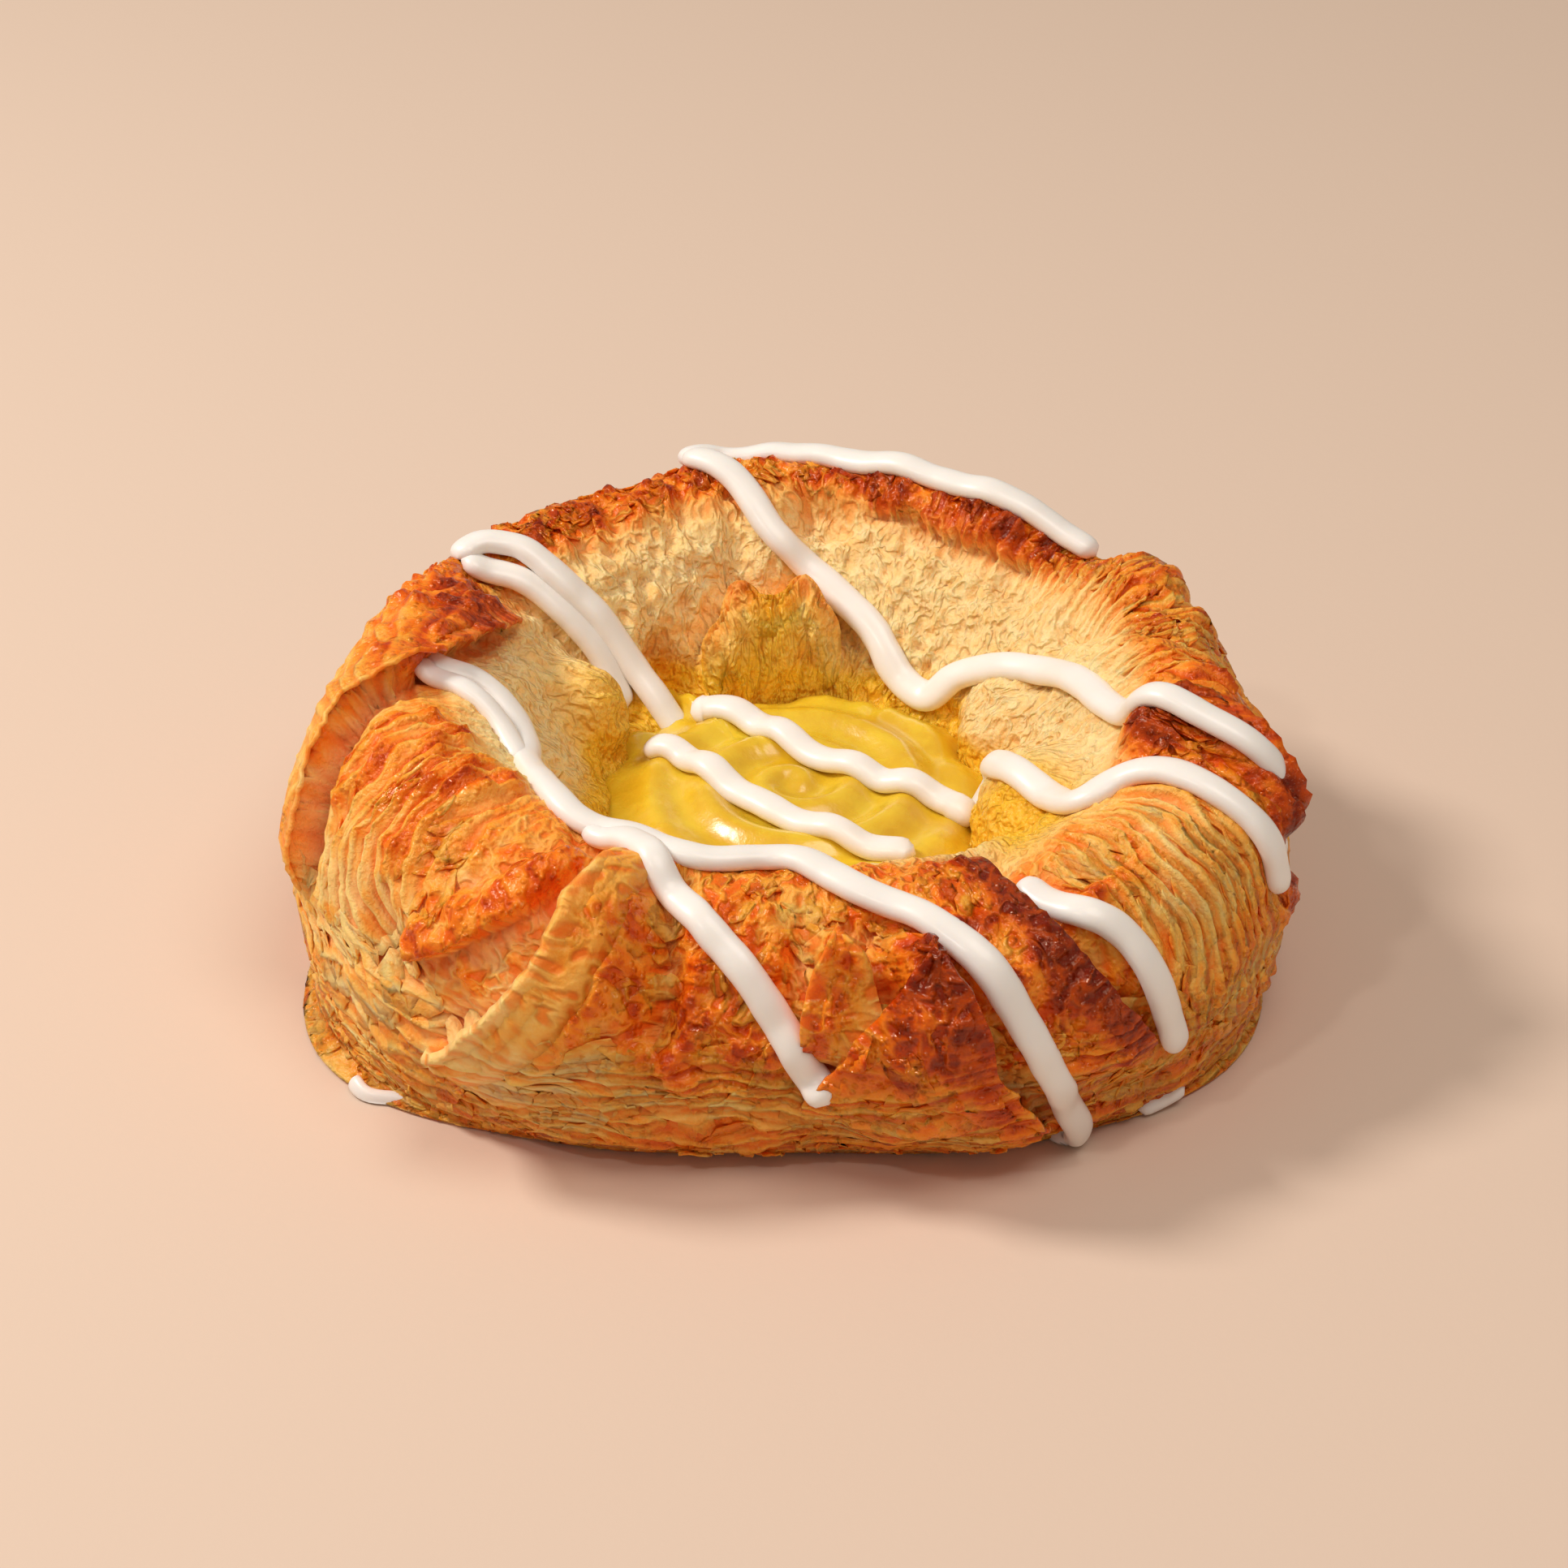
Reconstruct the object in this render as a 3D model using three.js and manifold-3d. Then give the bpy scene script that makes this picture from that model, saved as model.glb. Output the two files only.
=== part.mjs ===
// A custard Danish: a nest of laminated dough, folded up round a well of custard and drizzled with icing.
// Millimetres, +Z up, origin on the flat base under the middle of the outline. Headings are in degrees, 0 along
// +X and anticlockwise from above, about the middle of the well.
// A place on the dough is [heading in degrees, along]: along is the distance over the surface from the crest
// of the rim, in millimetres, positive down the outside and negative down into the well.
import * as THREE from 'three';
import { ParametricGeometry } from 'three/addons/geometries/ParametricGeometry.js';
import { ImprovedNoise } from 'three/addons/math/ImprovedNoise.js';
import { mergeVertices } from 'three/addons/utils/BufferGeometryUtils.js';
import Module from 'manifold-3d';

// ---- driving dimensions ----

// Each ring holds one size at every 30 degrees of heading, starting at +X.
const outerRadius = ringOf([53.5, 51.2, 49.8, 50.0, 49.1, 52.8, 54.4, 55.0, 53.5, 48.7, 52.8, 55.2]);
const footRadius = ringOf([48.5, 45.5, 44.5, 45.0, 44.0, 46.5, 50.0, 56.0, 46.5, 41.6, 46.5, 53.0]);
const crestRadius = ringOf([42.0, 43.0, 41.0, 43.0, 42.0, 43.0, 42.5, 41.5, 37.0, 34.5, 37.5, 43.0]);
const crestHeight = ringOf([32.3, 31.0, 31.8, 33.2, 31.8, 32.5, 33.1, 31.0, 29.5, 28.5, 28.5, 29.0]);
const wellRadius = ringOf([18.0, 18.5, 18.5, 18.5, 18.0, 17.5, 17.0, 17.5, 18.0, 18.5, 18.5, 18.0]);
const floorHeight = 9.5; // the dough under the custard
const edgeBevel = 1.0; // height of the rounded lower edge

const custardTop = 17.6;
const custardEdge = 14.6; // height at which the custard meets the dough
const custardGap = 0.35; // free space between the custard and the dough
const swirlDepth = 0.35;
const swirlPitch = 6.5;

const icingWidth = 3.9;
const icingHeight = 2.6;
const icingSink = 0.22; // share of its height that the icing is bedded into the dough

const wellOffset = [0, 0.75]; // from the origin to the middle of the well

const mmPerDegree = 0.75; // length of one degree of heading at the crest
const cragHeight = 0.8;
const cragSize = 5.5;
const flakeSeed = 11;

// How finely the surfaces are divided.
const doughSlices = 76;
const doughStep = 2.8;
const custardSlices = 36;
const icingStep = 4.4;
const icingSides = 7;

// ---- folds of the dough ----

// A raised flap lies left of its path, seen with heading to the right and along upwards; it ends in a step.
const flaps = [
  { name: 'left shell', path: [[152, -9], [168, -6], [183, -1.5], [190, 5], [194, 10], [197, 15], [200, 21]],
    lift: 2.6, reach: 8, dig: 1.8, groove: 3.5 },
  { name: 'front left roll', path: [[239, 1], [236.5, 4], [233.5, 8], [228, 12.5], [220, 17]],
    lift: 0.9, reach: 5, dig: 1.8, groove: 6 },
  { name: 'curled sheet', path: [[228, 22.5], [232.5, 20.5], [237, 17], [240.5, 13.5], [242.5, 9], [242.5, 4], [241, 0]],
    lift: 3.0, reach: 6, dig: 2.2, groove: 6 },
  { name: 'point, left side', path: [[270, 25], [275, 19], [279.5, 14], [283.5, 10.5], [286.5, 6]],
    lift: 2.2, reach: 8, dig: 1.0, groove: 4 },
  { name: 'point, right side', path: [[286.5, 6], [287, 10], [289, 15], [291, 20], [295, 25.5], [301, 31]],
    lift: 2.6, reach: 6, dig: 2.4, groove: 4 },
  { name: 'front right fold', path: [[297, -3], [299, 2], [300.5, 5.5], [302.5, 10], [305, 14], [308, 18], [313, 24]],
    lift: 2.0, reach: 9, dig: 1.6, groove: 3 },
  { name: 'right peak', path: [[350, -3], [346.5, 2], [342.5, 6], [340, 11], [338.5, 16], [337, 22]],
    lift: 2.6, reach: 7, dig: 3.0, groove: 3 },
  { name: 'back crust', path: [[42, -5], [55, -5.5], [66, -5.5], [79, -5]],
    lift: 1.2, reach: 6, dig: 1.2, groove: 5 },
  { name: 'ear over the custard', path: [[114, -20], [109, -17.5], [99, -15.5], [92, -16], [86, -17], [80, -16], [73, -18], [69, -21]],
    lift: 4.4, reach: 7, dig: 1.6, groove: 3 },
];

// Valleys and ridges follow a path; height is negative for a valley.
const seams = [
  { name: 'valley beside the left fold', path: [[237, -5], [233, 0], [229, 4], [224.5, 8], [220, 13], [215, 20]],
    height: -3.0, width: 3.2 },
  { name: 'front left roll', path: [[237, 1], [230.5, 6], [226, 10], [219, 15]], height: 1.8, width: 4.5 },
  { name: 'lip of the curled sheet', path: [[230, 22.5], [237, 18.5], [242, 14], [244.5, 9], [244, 2]],
    height: 1.0, width: 1.6 },
  { name: 'dent beside the curled sheet', path: [[247, 0], [250.5, 6], [252.5, 11], [254, 18]],
    height: -2.0, width: 3 },
  { name: 'front point ridge', path: [[286, 7], [284, 12], [284, 20], [286, 27]], height: 1.5, width: 3.5 },
  { name: 'saddle beside the right fold', path: [[303, -8], [307, 0], [309, 6]], height: -4.5, width: 6.5 },
  { name: 'right peak', path: [[346, -6], [342.5, 0], [339, 6], [337, 13]], height: 2.4, width: 3.8 },
  { name: 'right brown fold', path: [[14, -7], [2, -2.5], [354, 2], [347.5, 7], [344, 14]], height: 2.2, width: 4.2 },
  { name: 'valley over the brown fold', path: [[30, -11], [21, -7.5], [10.5, -3], [4, 3], [358, 10]],
    height: -2.0, width: 2.8 },
  { name: 'valley at the back right', path: [[43, -12], [41, -5], [38, 1], [36, 8]], height: -2.4, width: 3.5 },
  { name: 'back crest', path: [[78, -1.5], [66, -2], [56, -1.5], [46, -0.5]], height: 1.4, width: 4 },
  { name: 'valley under the twin strands', path: [[141, -25], [141.5, -18], [143, -12], [147, -5], [151, 1]],
    height: -3.4, width: 5 },
];

// Mounds are rounded lumps; a boss of 4 has steeper sides than one of 2. Height is negative for a hollow.
const mounds = [
  { name: 'left fold', at: [206, 3], size: [16, 13], height: 2.2, boss: 2 },
  { name: 'front right fold', at: [294, 10], size: [8, 13], height: 1.6, boss: 2 },
  { name: 'right fold', at: [323, 8], size: [11, 13], height: 2.2, boss: 2 },
  { name: 'back right fold', at: [27, 0], size: [7, 8], height: 1.6, boss: 2 },
  { name: 'small front point', at: [271.5, 12], size: [3, 5], height: 1.3, boss: 2 },
  { name: 'nook at the back', at: [85, -7.5], size: [5, 2.6], height: -3.2, boss: 4 },
  { name: 'cave beside the ear', at: [120, -19.5], size: [3, 3], height: -3.5, boss: 2 },
  { name: 'lump at the left', at: [156, -20], size: [6, 5], height: 4.0, boss: 4 },
  { name: 'lump at the back right', at: [26, -21], size: [8, 5.5], height: 3.6, boss: 4 },
  { name: 'lump at the right', at: [343, -19.5], size: [10, 6.5], height: 3.4, boss: 4 },
];

// Small flakes, scattered over [least, most] of heading and along. They point round the rim (layers) or
// over it (strands), and their free edge stands lift high.
const flakeFields = [
  { name: 'layers of the lower wall', heading: [0, 360], along: [17, 33], count: 14, round: true,
    length: 13, reach: 3.2, lift: 0.9 },
  { name: 'strands of the left fold', heading: [196, 222], along: [-9, 16], count: 5, length: 9, reach: 2.2, lift: 0.8 },
  { name: 'strands of the right fold', heading: [313, 334], along: [-4, 20], count: 5, length: 9, reach: 2.2, lift: 0.8 },
  { name: 'strands at the back right', heading: [6, 44], along: [-12, 10], count: 5, length: 8, reach: 2.2, lift: 0.7 },
  { name: 'shreds of the back wall', heading: [60, 150], along: [-16, 6], count: 6, length: 7, reach: 2.4, lift: 0.8 },
  { name: 'crust at the front', heading: [250, 282], along: [3, 20], count: 4, length: 7, reach: 3, lift: 0.7 },
];

// ---- strands of icing ----

const doughStrands = [
  { name: 'along the back', path: [[38, 1.5], [47, 0], [58.5, -1], [74, -1], [84, 0.5], [94, 2.5], [101, 3.5], [107, 1.5]] },
  { name: 'back to right', path: [[106.5, 2], [100.5, -2.5], [93, -10], [81, -15], [70, -18], [60.5, -22], [49, -23],
    [43, -19.5], [30.5, -16], [17, -13], [353, -7.5], [345, -3.5], [342, 0.5], [341, 5], [341.5, 10], [343.5, 17]] },
  { name: 'twin, left side', path: [[148.7, 1.2], [143.7, -5], [140.2, -12], [138.2, -17], [139.5, -22.5]] },
  { name: 'twin, right side', path: [[149, 1.5], [145, 1.5], [141, -1.5], [138.5, -7], [135, -13.5], [132.5, -21], [131.5, -25]] },
  { name: 'left', path: [[181, -2.7], [181.4, -7.5], [193, -12], [217, -7], [227, -5], [236, -5], [252, -1.5], [267, -3.2],
    [279, 2], [287, 5], [292, 9.2], [295.5, 15], [299, 22], [302.5, 28.5], [305.5, 34.5], [304, 38]] },
  { name: 'front', path: [[230.5, -4.5], [239.5, -2.9], [249, 1.7], [257.3, 5.5], [263.5, 9.6], [268, 14.4], [271.5, 20], [274, 22.5]] },
  { name: 'right', path: [[5.5, -28.5], [13, -26], [0, -23], [348.5, -19.8], [334.5, -13.7], [326, -6.5], [331, -3.8], [333, 0],
    [332.6, 4.6], [332.8, 10], [333.2, 15]] },
  { name: 'front right', path: [[306, 1], [306.8, 6], [310.6, 9.7], [312.5, 15.5], [315, 24]] },
  { name: 'at the left foot', path: [[213, 34], [217, 35], [221, 35.5], [225, 36]], thin: 0.55 },
  { name: 'at the right foot', path: [[314, 35.5], [317, 34.5], [320, 33.5]], thin: 0.55 },
];

// Over the custard the strands are given as [x, y].
const custardStrands = [
  { name: 'near', path: [[-16.6, 7.5], [-13, 5.5], [-9.8, 1.5], [-2.6, -6], [6.2, -12], [13, -14]] },
  { name: 'far', path: [[-10.5, 14.5], [-8.5, 14.2], [-4.5, 11.5], [1.9, 4.8], [9, 0], [15.2, -2.5], [17.8, -4]] },
];

// ---- curves ----

// A smooth closed curve through values that stand at equal steps of heading.
function ringOf(values) {
  const count = values.length;
  return (heading) => {
    const place = ((((heading % 360) + 360) % 360) / 360) * count;
    const first = Math.floor(place);
    const at = (offset) => values[(first + offset + count) % count];
    return catmullRom(at(-1), at(0), at(1), at(2), place - first);
  };
}

function catmullRom(before, from, to, after, share) {
  const curve = 2 * before - 5 * from + 4 * to - after;
  const turn = 3 * (from - to) + after - before;
  return from + 0.5 * share * (to - before + share * (curve + share * turn));
}

// The rim's section at a heading, from the middle of the well over the crest to the middle of the base.
function sectionAt(heading) {
  const outer = outerRadius(heading);
  const foot = footRadius(heading);
  const crest = crestRadius(heading);
  const top = crestHeight(heading);
  const well = wellRadius(heading);
  const wall = (share, rise) => [well + share * (crest - well), floorHeight + rise * (top - floorHeight)];
  return [
    [0, floorHeight],
    [well * 0.55, floorHeight],
    [well, floorHeight + 1],
    wall(0.3, 0.42),
    wall(0.66, 0.86),
    [crest, top],
    [crest + 0.5 * (outer - crest), 0.9 * top],
    [outer - 1.6, 0.66 * top],
    [outer, 0.4 * top],
    [outer + 0.2 * (foot - outer), 0.17 * top],
    [outer + 0.62 * (foot - outer), edgeBevel],
    [foot, 0],
    [0.5 * outer, 0],
    [0, 0],
  ];
}
const crestStation = 5;
const baseStation = 11;

// Distance of each station from the crest, on the mean section.
const stationAlong = (() => {
  const headings = Array.from({ length: 12 }, (_, i) => i * 30);
  const sections = headings.map(sectionAt);
  const mean = sections[0].map((_, k) =>
    [0, 1].map((axis) => sections.reduce((sum, section) => sum + section[k][axis], 0) / sections.length));
  const travel = [0];
  for (let k = 1; k < mean.length; k++) {
    travel.push(travel[k - 1] + Math.hypot(mean[k][0] - mean[k - 1][0], mean[k][1] - mean[k - 1][1]));
  }
  return travel.map((length) => length - travel[crestStation]);
})();

// Radius and height of the plain rim, without its folds.
function rimAt(heading, along) {
  const section = sectionAt(heading);
  const last = section.length - 1;
  let k = 0;
  while (k < last - 1 && along > stationAlong[k + 1]) k++;
  const share = (along - stationAlong[k]) / (stationAlong[k + 1] - stationAlong[k]);
  const at = (j, axis) => section[THREE.MathUtils.clamp(j, 0, last)][axis];
  return [0, 1].map((axis) => catmullRom(at(k - 1, axis), at(k, axis), at(k + 1, axis), at(k + 2, axis), share));
}

// ---- relief ----

const wrapDegrees = (angle) => ((((angle + 180) % 360) + 360) % 360) - 180;
const bell = (ratio, power = 2) => Math.exp(-Math.pow(Math.abs(ratio), power));

// A path as a smooth polyline on the unrolled rim, relative to its first heading.
function unrolled(fold) {
  const start = fold.path[0][0];
  const points = fold.path.map(([heading, along]) =>
    new THREE.Vector2(wrapDegrees(heading - start) * mmPerDegree, along));
  return { ...fold, start, line: new THREE.SplineCurve(points).getPoints(4 * (points.length - 1)) };
}

// Distance from the nearest point of a fold's line, its side (+1 on the left), and a fade at both ends.
function besideLine(fold, heading, along) {
  const x = wrapDegrees(heading - fold.start) * mmPerDegree;
  let best = { distance: Infinity, side: 1, fade: 0 };
  const count = fold.line.length - 1;
  for (let i = 0; i < count; i++) {
    const a = fold.line[i];
    const b = fold.line[i + 1];
    const dx = b.x - a.x;
    const dy = b.y - a.y;
    const share = THREE.MathUtils.clamp(((x - a.x) * dx + (along - a.y) * dy) / (dx * dx + dy * dy), 0, 1);
    const distance = Math.hypot(x - a.x - share * dx, along - a.y - share * dy);
    if (distance < best.distance) {
      const run = (i + share) / count;
      const fade = THREE.MathUtils.smoothstep(Math.min(run, 1 - run), 0, 0.14);
      best = { distance, side: Math.sign(dx * (along - a.y) - dy * (x - a.x)) || 1, fade };
    }
  }
  return best;
}

const flapLines = flaps.map(unrolled);
const seamLines = seams.map(unrolled);
const noise = new ImprovedNoise();

// The body rises a little under a flap, and sinks beside the flap's free edge.
const leafShare = 0.65; // share of a flap's lift that is its own thickness
function flapHeight(flap, heading, along) {
  const { distance, side, fade } = besideLine(flap, heading, along);
  const raised = THREE.MathUtils.smoothstep(side * distance, -1.6, 1.6);
  const up = (1 - leafShare) * flap.lift * bell(distance / flap.reach) * raised;
  const down = flap.dig * bell(distance / flap.groove) * (1 - raised);
  return fade * (up - down);
}

function seamHeight(seam, heading, along) {
  const { distance, fade } = besideLine(seam, heading, along);
  return fade * seam.height * bell(distance / seam.width, seam.height < 0 ? 1.3 : 2);
}

function moundHeight(mound, heading, along) {
  const x = (wrapDegrees(heading - mound.at[0]) * mmPerDegree) / mound.size[0];
  const y = (along - mound.at[1]) / mound.size[1];
  return mound.height * bell(Math.hypot(x, y), mound.boss);
}

// Coarse crags all over, drawn out into level layers low on the outside.
function cragAt(heading, along) {
  const [radius, height] = rimAt(heading, along);
  const turn = THREE.MathUtils.degToRad(heading);
  const [x, y, z] = [radius * Math.cos(turn), radius * Math.sin(turn), height].map((value) => value / cragSize);
  const low = THREE.MathUtils.smoothstep(along, 14, 24);
  return cragHeight * (noise.noise(x, y, z) * (1 - 0.5 * low) + noise.noise(0.4 * x, 0.4 * y, 2.2 * z) * low);
}

function reliefAt(heading, along) {
  const settle = 1 - THREE.MathUtils.smoothstep(along, stationAlong[baseStation] - 8, stationAlong[baseStation] - 1);
  const floor = THREE.MathUtils.smoothstep(along, stationAlong[1], stationAlong[2]);
  if (settle * floor === 0) return 0;
  let height = cragAt(heading, along);
  for (const flap of flapLines) height += flapHeight(flap, heading, along);
  for (const seam of seamLines) height += seamHeight(seam, heading, along);
  for (const mound of mounds) height += moundHeight(mound, heading, along);
  return height * settle * floor;
}

// How far the flaps stand above the body.
function leafTop(heading, along) {
  return Math.max(...flapLines.map((flap) => {
    const { distance, side, fade } = besideLine(flap, heading, along);
    const across = (side * distance) / flap.reach;
    return across < -0.15 ? 0 : leafShare * flap.lift * fade * Math.max(0, 1 - 0.95 * Math.max(across, 0));
  }));
}

// A point of the dough's surface, raised above it by lift along the rim's own normal.
function doughPoint(heading, along, lift = 0) {
  const [radius, height] = rimAt(heading, along);
  const [r0, z0] = rimAt(heading, along - 0.5);
  const [r1, z1] = rimAt(heading, along + 0.5);
  const length = Math.hypot(r1 - r0, z1 - z0);
  const raise = reliefAt(heading, along) + lift;
  const outward = ((z1 - z0) / length) * Math.min(radius, 1); // none at the very middle
  const r = Math.max(radius - outward * raise, 0);
  const z = Math.max(height + ((r1 - r0) / length) * raise, 0);
  const turn = THREE.MathUtils.degToRad(heading);
  return new THREE.Vector3(r * Math.cos(turn), r * Math.sin(turn), z);
}

// ---- solids ----

const wasm = await Module();
wasm.setup();

// A closed geometry as a manifold-3d solid.
function solidOf(geometry) {
  const bare = new THREE.BufferGeometry().setAttribute('position', geometry.getAttribute('position').clone());
  bare.setIndex(geometry.index ? geometry.index.clone() : null);
  const merged = mergeVertices(bare, 1e-4);
  const corners = merged.index.array;
  const kept = [];
  for (let i = 0; i < corners.length; i += 3) {
    const [a, b, c] = [corners[i], corners[i + 1], corners[i + 2]];
    if (a !== b && b !== c && c !== a) kept.push(a, b, c);
  }
  return new wasm.Manifold(new wasm.Mesh({
    numProp: 3,
    vertProperties: merged.getAttribute('position').array,
    triVerts: new Uint32Array(kept),
  }));
}

// The outer skin of a solid, as a geometry; slits sealed up inside it are filled.
function geometryOf(solid, again = true) {
  const [skin] = solid.decompose().sort((a, b) => b.volume() - a.volume());
  const mesh = skin.getMesh();
  const positions = new Float32Array(mesh.numVert * 3);
  for (let i = 0; i < mesh.numVert; i++) {
    positions.set(mesh.vertProperties.subarray(i * mesh.numProp, i * mesh.numProp + 3), i * 3);
  }
  const geometry = new THREE.BufferGeometry().setAttribute('position', new THREE.BufferAttribute(positions, 3));
  geometry.setIndex(new THREE.BufferAttribute(mesh.triVerts, 1));
  if (again) return geometryOf(solidOf(geometry), false); // slits held on by a single corner come loose
  geometry.computeVertexNormals();
  return geometry;
}

// A closed surface over headings and the listed places of a section, from the middle of its underside,
// outwards and over the top to the middle again.
function wrapped(slices, places, pointAt) {
  const surface = (u, v, target) => {
    const place = places[Math.round(v * (places.length - 1))];
    target.copy(pointAt((Math.round(u * slices) % slices) * (360 / slices), place));
  };
  return new ParametricGeometry(surface, slices, places.length - 1);
}

// A closed spindle: a section carried along a run of stations, and drawn to a point at both ends.
function spindle(stations, sides, pointAt) {
  const surface = (u, v, target) => {
    const station = stations[Math.round(v * (stations.length - 1))];
    target.copy(pointAt(station, Math.round((1 - u) * sides) % sides));
  };
  return solidOf(new ParametricGeometry(surface, sides, stations.length - 1));
}

// Places along the dough's section, close over the rim and wide apart in the well and under the base.
function doughPlaces() {
  const end = stationAlong[baseStation];
  const places = [stationAlong[0], stationAlong[1]];
  for (let along = stationAlong[2] + 1; along < end - 1; along += doughStep) places.push(along);
  return [...places, end, stationAlong[baseStation + 2]].reverse();
}

function makeBody(swell) {
  const places = doughPlaces();
  return solidOf(wrapped(doughSlices, places, (heading, along) => doughPoint(heading, along, swell)));
}

// A leaf of dough lying on the rim, thick at its free edge and thinning out to the left of its path.
// Its section is [share of the reach, share of the lift]; what is below zero lies inside the body.
const leafSection = [[0.2, -1.6], [1.2, -0.9], [0.7, 0.25], [0.3, 0.72], [0.05, 1], [-0.12, 0.85], [-0.12, 0.2]];
const flakeSection = [[0.3, -1], [1.1, -0.6], [0.4, 0.7], [-0.05, 1]];

function makeLeaf(line, start, { reach, lift }, section, count, swell) {
  const curve = new THREE.SplineCurve(line);
  const stations = Array.from({ length: count + 1 }, (_, i) => {
    const share = i / count;
    const tangent = curve.getTangent(THREE.MathUtils.clamp(share, 0.02, 0.98));
    const left = new THREE.Vector2(-tangent.y, tangent.x);
    return { at: curve.getPoint(share), left, full: Math.sqrt(Math.sin(Math.PI * share) + 1e-9) };
  });
  return spindle(stations, section.length, ({ at, left, full }, k) => {
    if (full < 0.01) return doughPoint(start + at.x / mmPerDegree, at.y, -0.6);
    const across = section[k][0] * reach * (0.4 + 0.6 * full);
    const rise = section[k][1] > 0 ? section[k][1] * lift * full + swell : section[k][1] - swell;
    return doughPoint(start + (at.x + left.x * across) / mmPerDegree, at.y + left.y * across, rise);
  });
}

function makeFlaps(swell) {
  return flapLines.map((flap) => {
    const leaf = { reach: flap.reach, lift: leafShare * flap.lift };
    return makeLeaf(flap.line, flap.start, leaf, leafSection, 2 * flap.path.length - 2, swell);
  });
}

// Numbers from 0 to 1 in a fixed order.
function randomFrom(seed) {
  let state = seed;
  return () => {
    state = (state * 16807) % 2147483647;
    return state / 2147483647;
  };
}

function makeFlakes(swell) {
  const random = randomFrom(flakeSeed);
  const between = ([least, most]) => least + random() * (most - least);
  return flakeFields.flatMap((field) => Array.from({ length: field.count }, () => {
    const start = between(field.heading);
    const along = between(field.along);
    const half = (field.length / 2) * (0.7 + 0.6 * random());
    const turn = (field.round ? Math.PI : Math.PI / 2) + 0.5 * (random() - 0.5) + (random() < 0.5 && !field.round ? Math.PI : 0);
    const [dx, dy] = [Math.cos(turn) * half, Math.sin(turn) * half];
    const line = [new THREE.Vector2(-dx, along - dy), new THREE.Vector2(0, along + 0.4), new THREE.Vector2(dx, along + dy)];
    return makeLeaf(line, start, field, flakeSection, 3, swell);
  }));
}

// A rounded strand of icing over the points that pointAt lays on a surface.
function makeStrand(path, pointAt, swell, thin = 1) {
  const plan = new THREE.SplineCurve(path.map(([x, y]) => new THREE.Vector2(x, y)));
  const rough = plan.getPoints(3 * (path.length - 1)).map(({ x, y }) => pointAt(x, y));
  const route = new THREE.CatmullRomCurve3(rough, false, 'centripetal');
  const count = Math.max(3, Math.round(route.getLength() / icingStep));
  const stations = Array.from({ length: count + 1 }, (_, i) => {
    const share = i / count;
    const at = route.getPointAt(share);
    const tangent = route.getTangentAt(share);
    const up = new THREE.Vector3(at.x, at.y, 0).normalize().multiplyScalar(steepness(at)).add(new THREE.Vector3(0, 0, 1));
    const across = new THREE.Vector3().crossVectors(tangent, up).normalize();
    up.crossVectors(across, tangent).normalize();
    const full = i === 0 || i === count ? 0 : Math.min(1, 0.75 + 0.25 * Math.min(i, count - i));
    return { at, across, up, full };
  });
  return spindle(stations, icingSides, ({ at, across, up, full }, k) => {
    const turn = (k / icingSides) * 2 * Math.PI;
    const point = at.clone()
      .addScaledVector(across, Math.cos(turn) * ((thin * icingWidth) / 2 + swell) * full)
      .addScaledVector(up, Math.sin(turn) * ((thin * icingHeight) / 2 + swell) * full);
    return point.setZ(Math.max(point.z, 0.2)); // just off the ground
  });
}

// How far the rim leans outwards at a point: 0 at the crest, rising down the outside, negative in the well.
function steepness({ x, y, z }) {
  const heading = THREE.MathUtils.radToDeg(Math.atan2(y, x));
  const radius = Math.hypot(x, y);
  const crest = crestRadius(heading);
  const half = radius > crest ? outerRadius(heading) - crest : crest - wellRadius(heading);
  const lean = THREE.MathUtils.clamp((radius - crest) / half, -0.6, 0.95);
  return z < custardTop + 2 && radius < wellRadius(heading) ? 0 : lean / Math.sqrt(1 - lean * lean);
}

const icingLift = icingHeight * (0.5 - icingSink);

function makeDoughStrands(swell) {
  return doughStrands.map(({ path, thin }) => {
    const start = path[0][0];
    const unwound = path.map(([heading, along]) => [start + wrapDegrees(heading - start), along]);
    const pointAt = (heading, along) => doughPoint(heading, along, icingLift + leafTop(heading, along));
    return makeStrand(unwound, pointAt, swell, thin);
  });
}

// ---- custard ----

// Radius at which the dough's inner wall stands at the custard's edge.
const shoreRadius = ringOf(Array.from({ length: 60 }, (_, i) => {
  let [low, high] = [stationAlong[2], stationAlong[4]];
  for (let step = 0; step < 16; step++) {
    const middle = (low + high) / 2;
    if (doughPoint(i * 6, middle).z < custardEdge) low = middle;
    else high = middle;
  }
  const { x, y } = doughPoint(i * 6, low);
  return Math.hypot(x, y);
}));

function custardHeight(x, y) {
  const heading = Math.atan2(y, x);
  const radius = Math.hypot(x, y);
  const dome = 1 - Math.pow(radius / shoreRadius(THREE.MathUtils.radToDeg(heading)), 5);
  const swirl = swirlDepth * Math.cos(2 * Math.PI * (radius / swirlPitch) - heading);
  return custardEdge + (custardTop - custardEdge) * dome + swirl * Math.min(Math.max(dome, 0), radius / 2);
}

// A domed plug with a piped swirl, a little wider than the well.
function makePlug() {
  const rings = 7;
  const places = Array.from({ length: rings + 3 }, (_, i) => i - 2);
  return solidOf(wrapped(custardSlices, places, (heading, place) => {
    const turn = THREE.MathUtils.degToRad(heading);
    const radius = 1.15 * shoreRadius(heading) * (place < 0 ? place + 2 : 1 - place / rings);
    const [x, y] = [radius * Math.cos(turn), radius * Math.sin(turn)];
    return new THREE.Vector3(x, y, place < 0 ? floorHeight - 1 : custardHeight(x, y));
  }));
}

function makeCustardStrands() {
  return custardStrands.map(({ path }) =>
    makeStrand(path, (x, y) => new THREE.Vector3(x, y, custardHeight(x, y) + icingLift), 0));
}

// ---- the part ----

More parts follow.
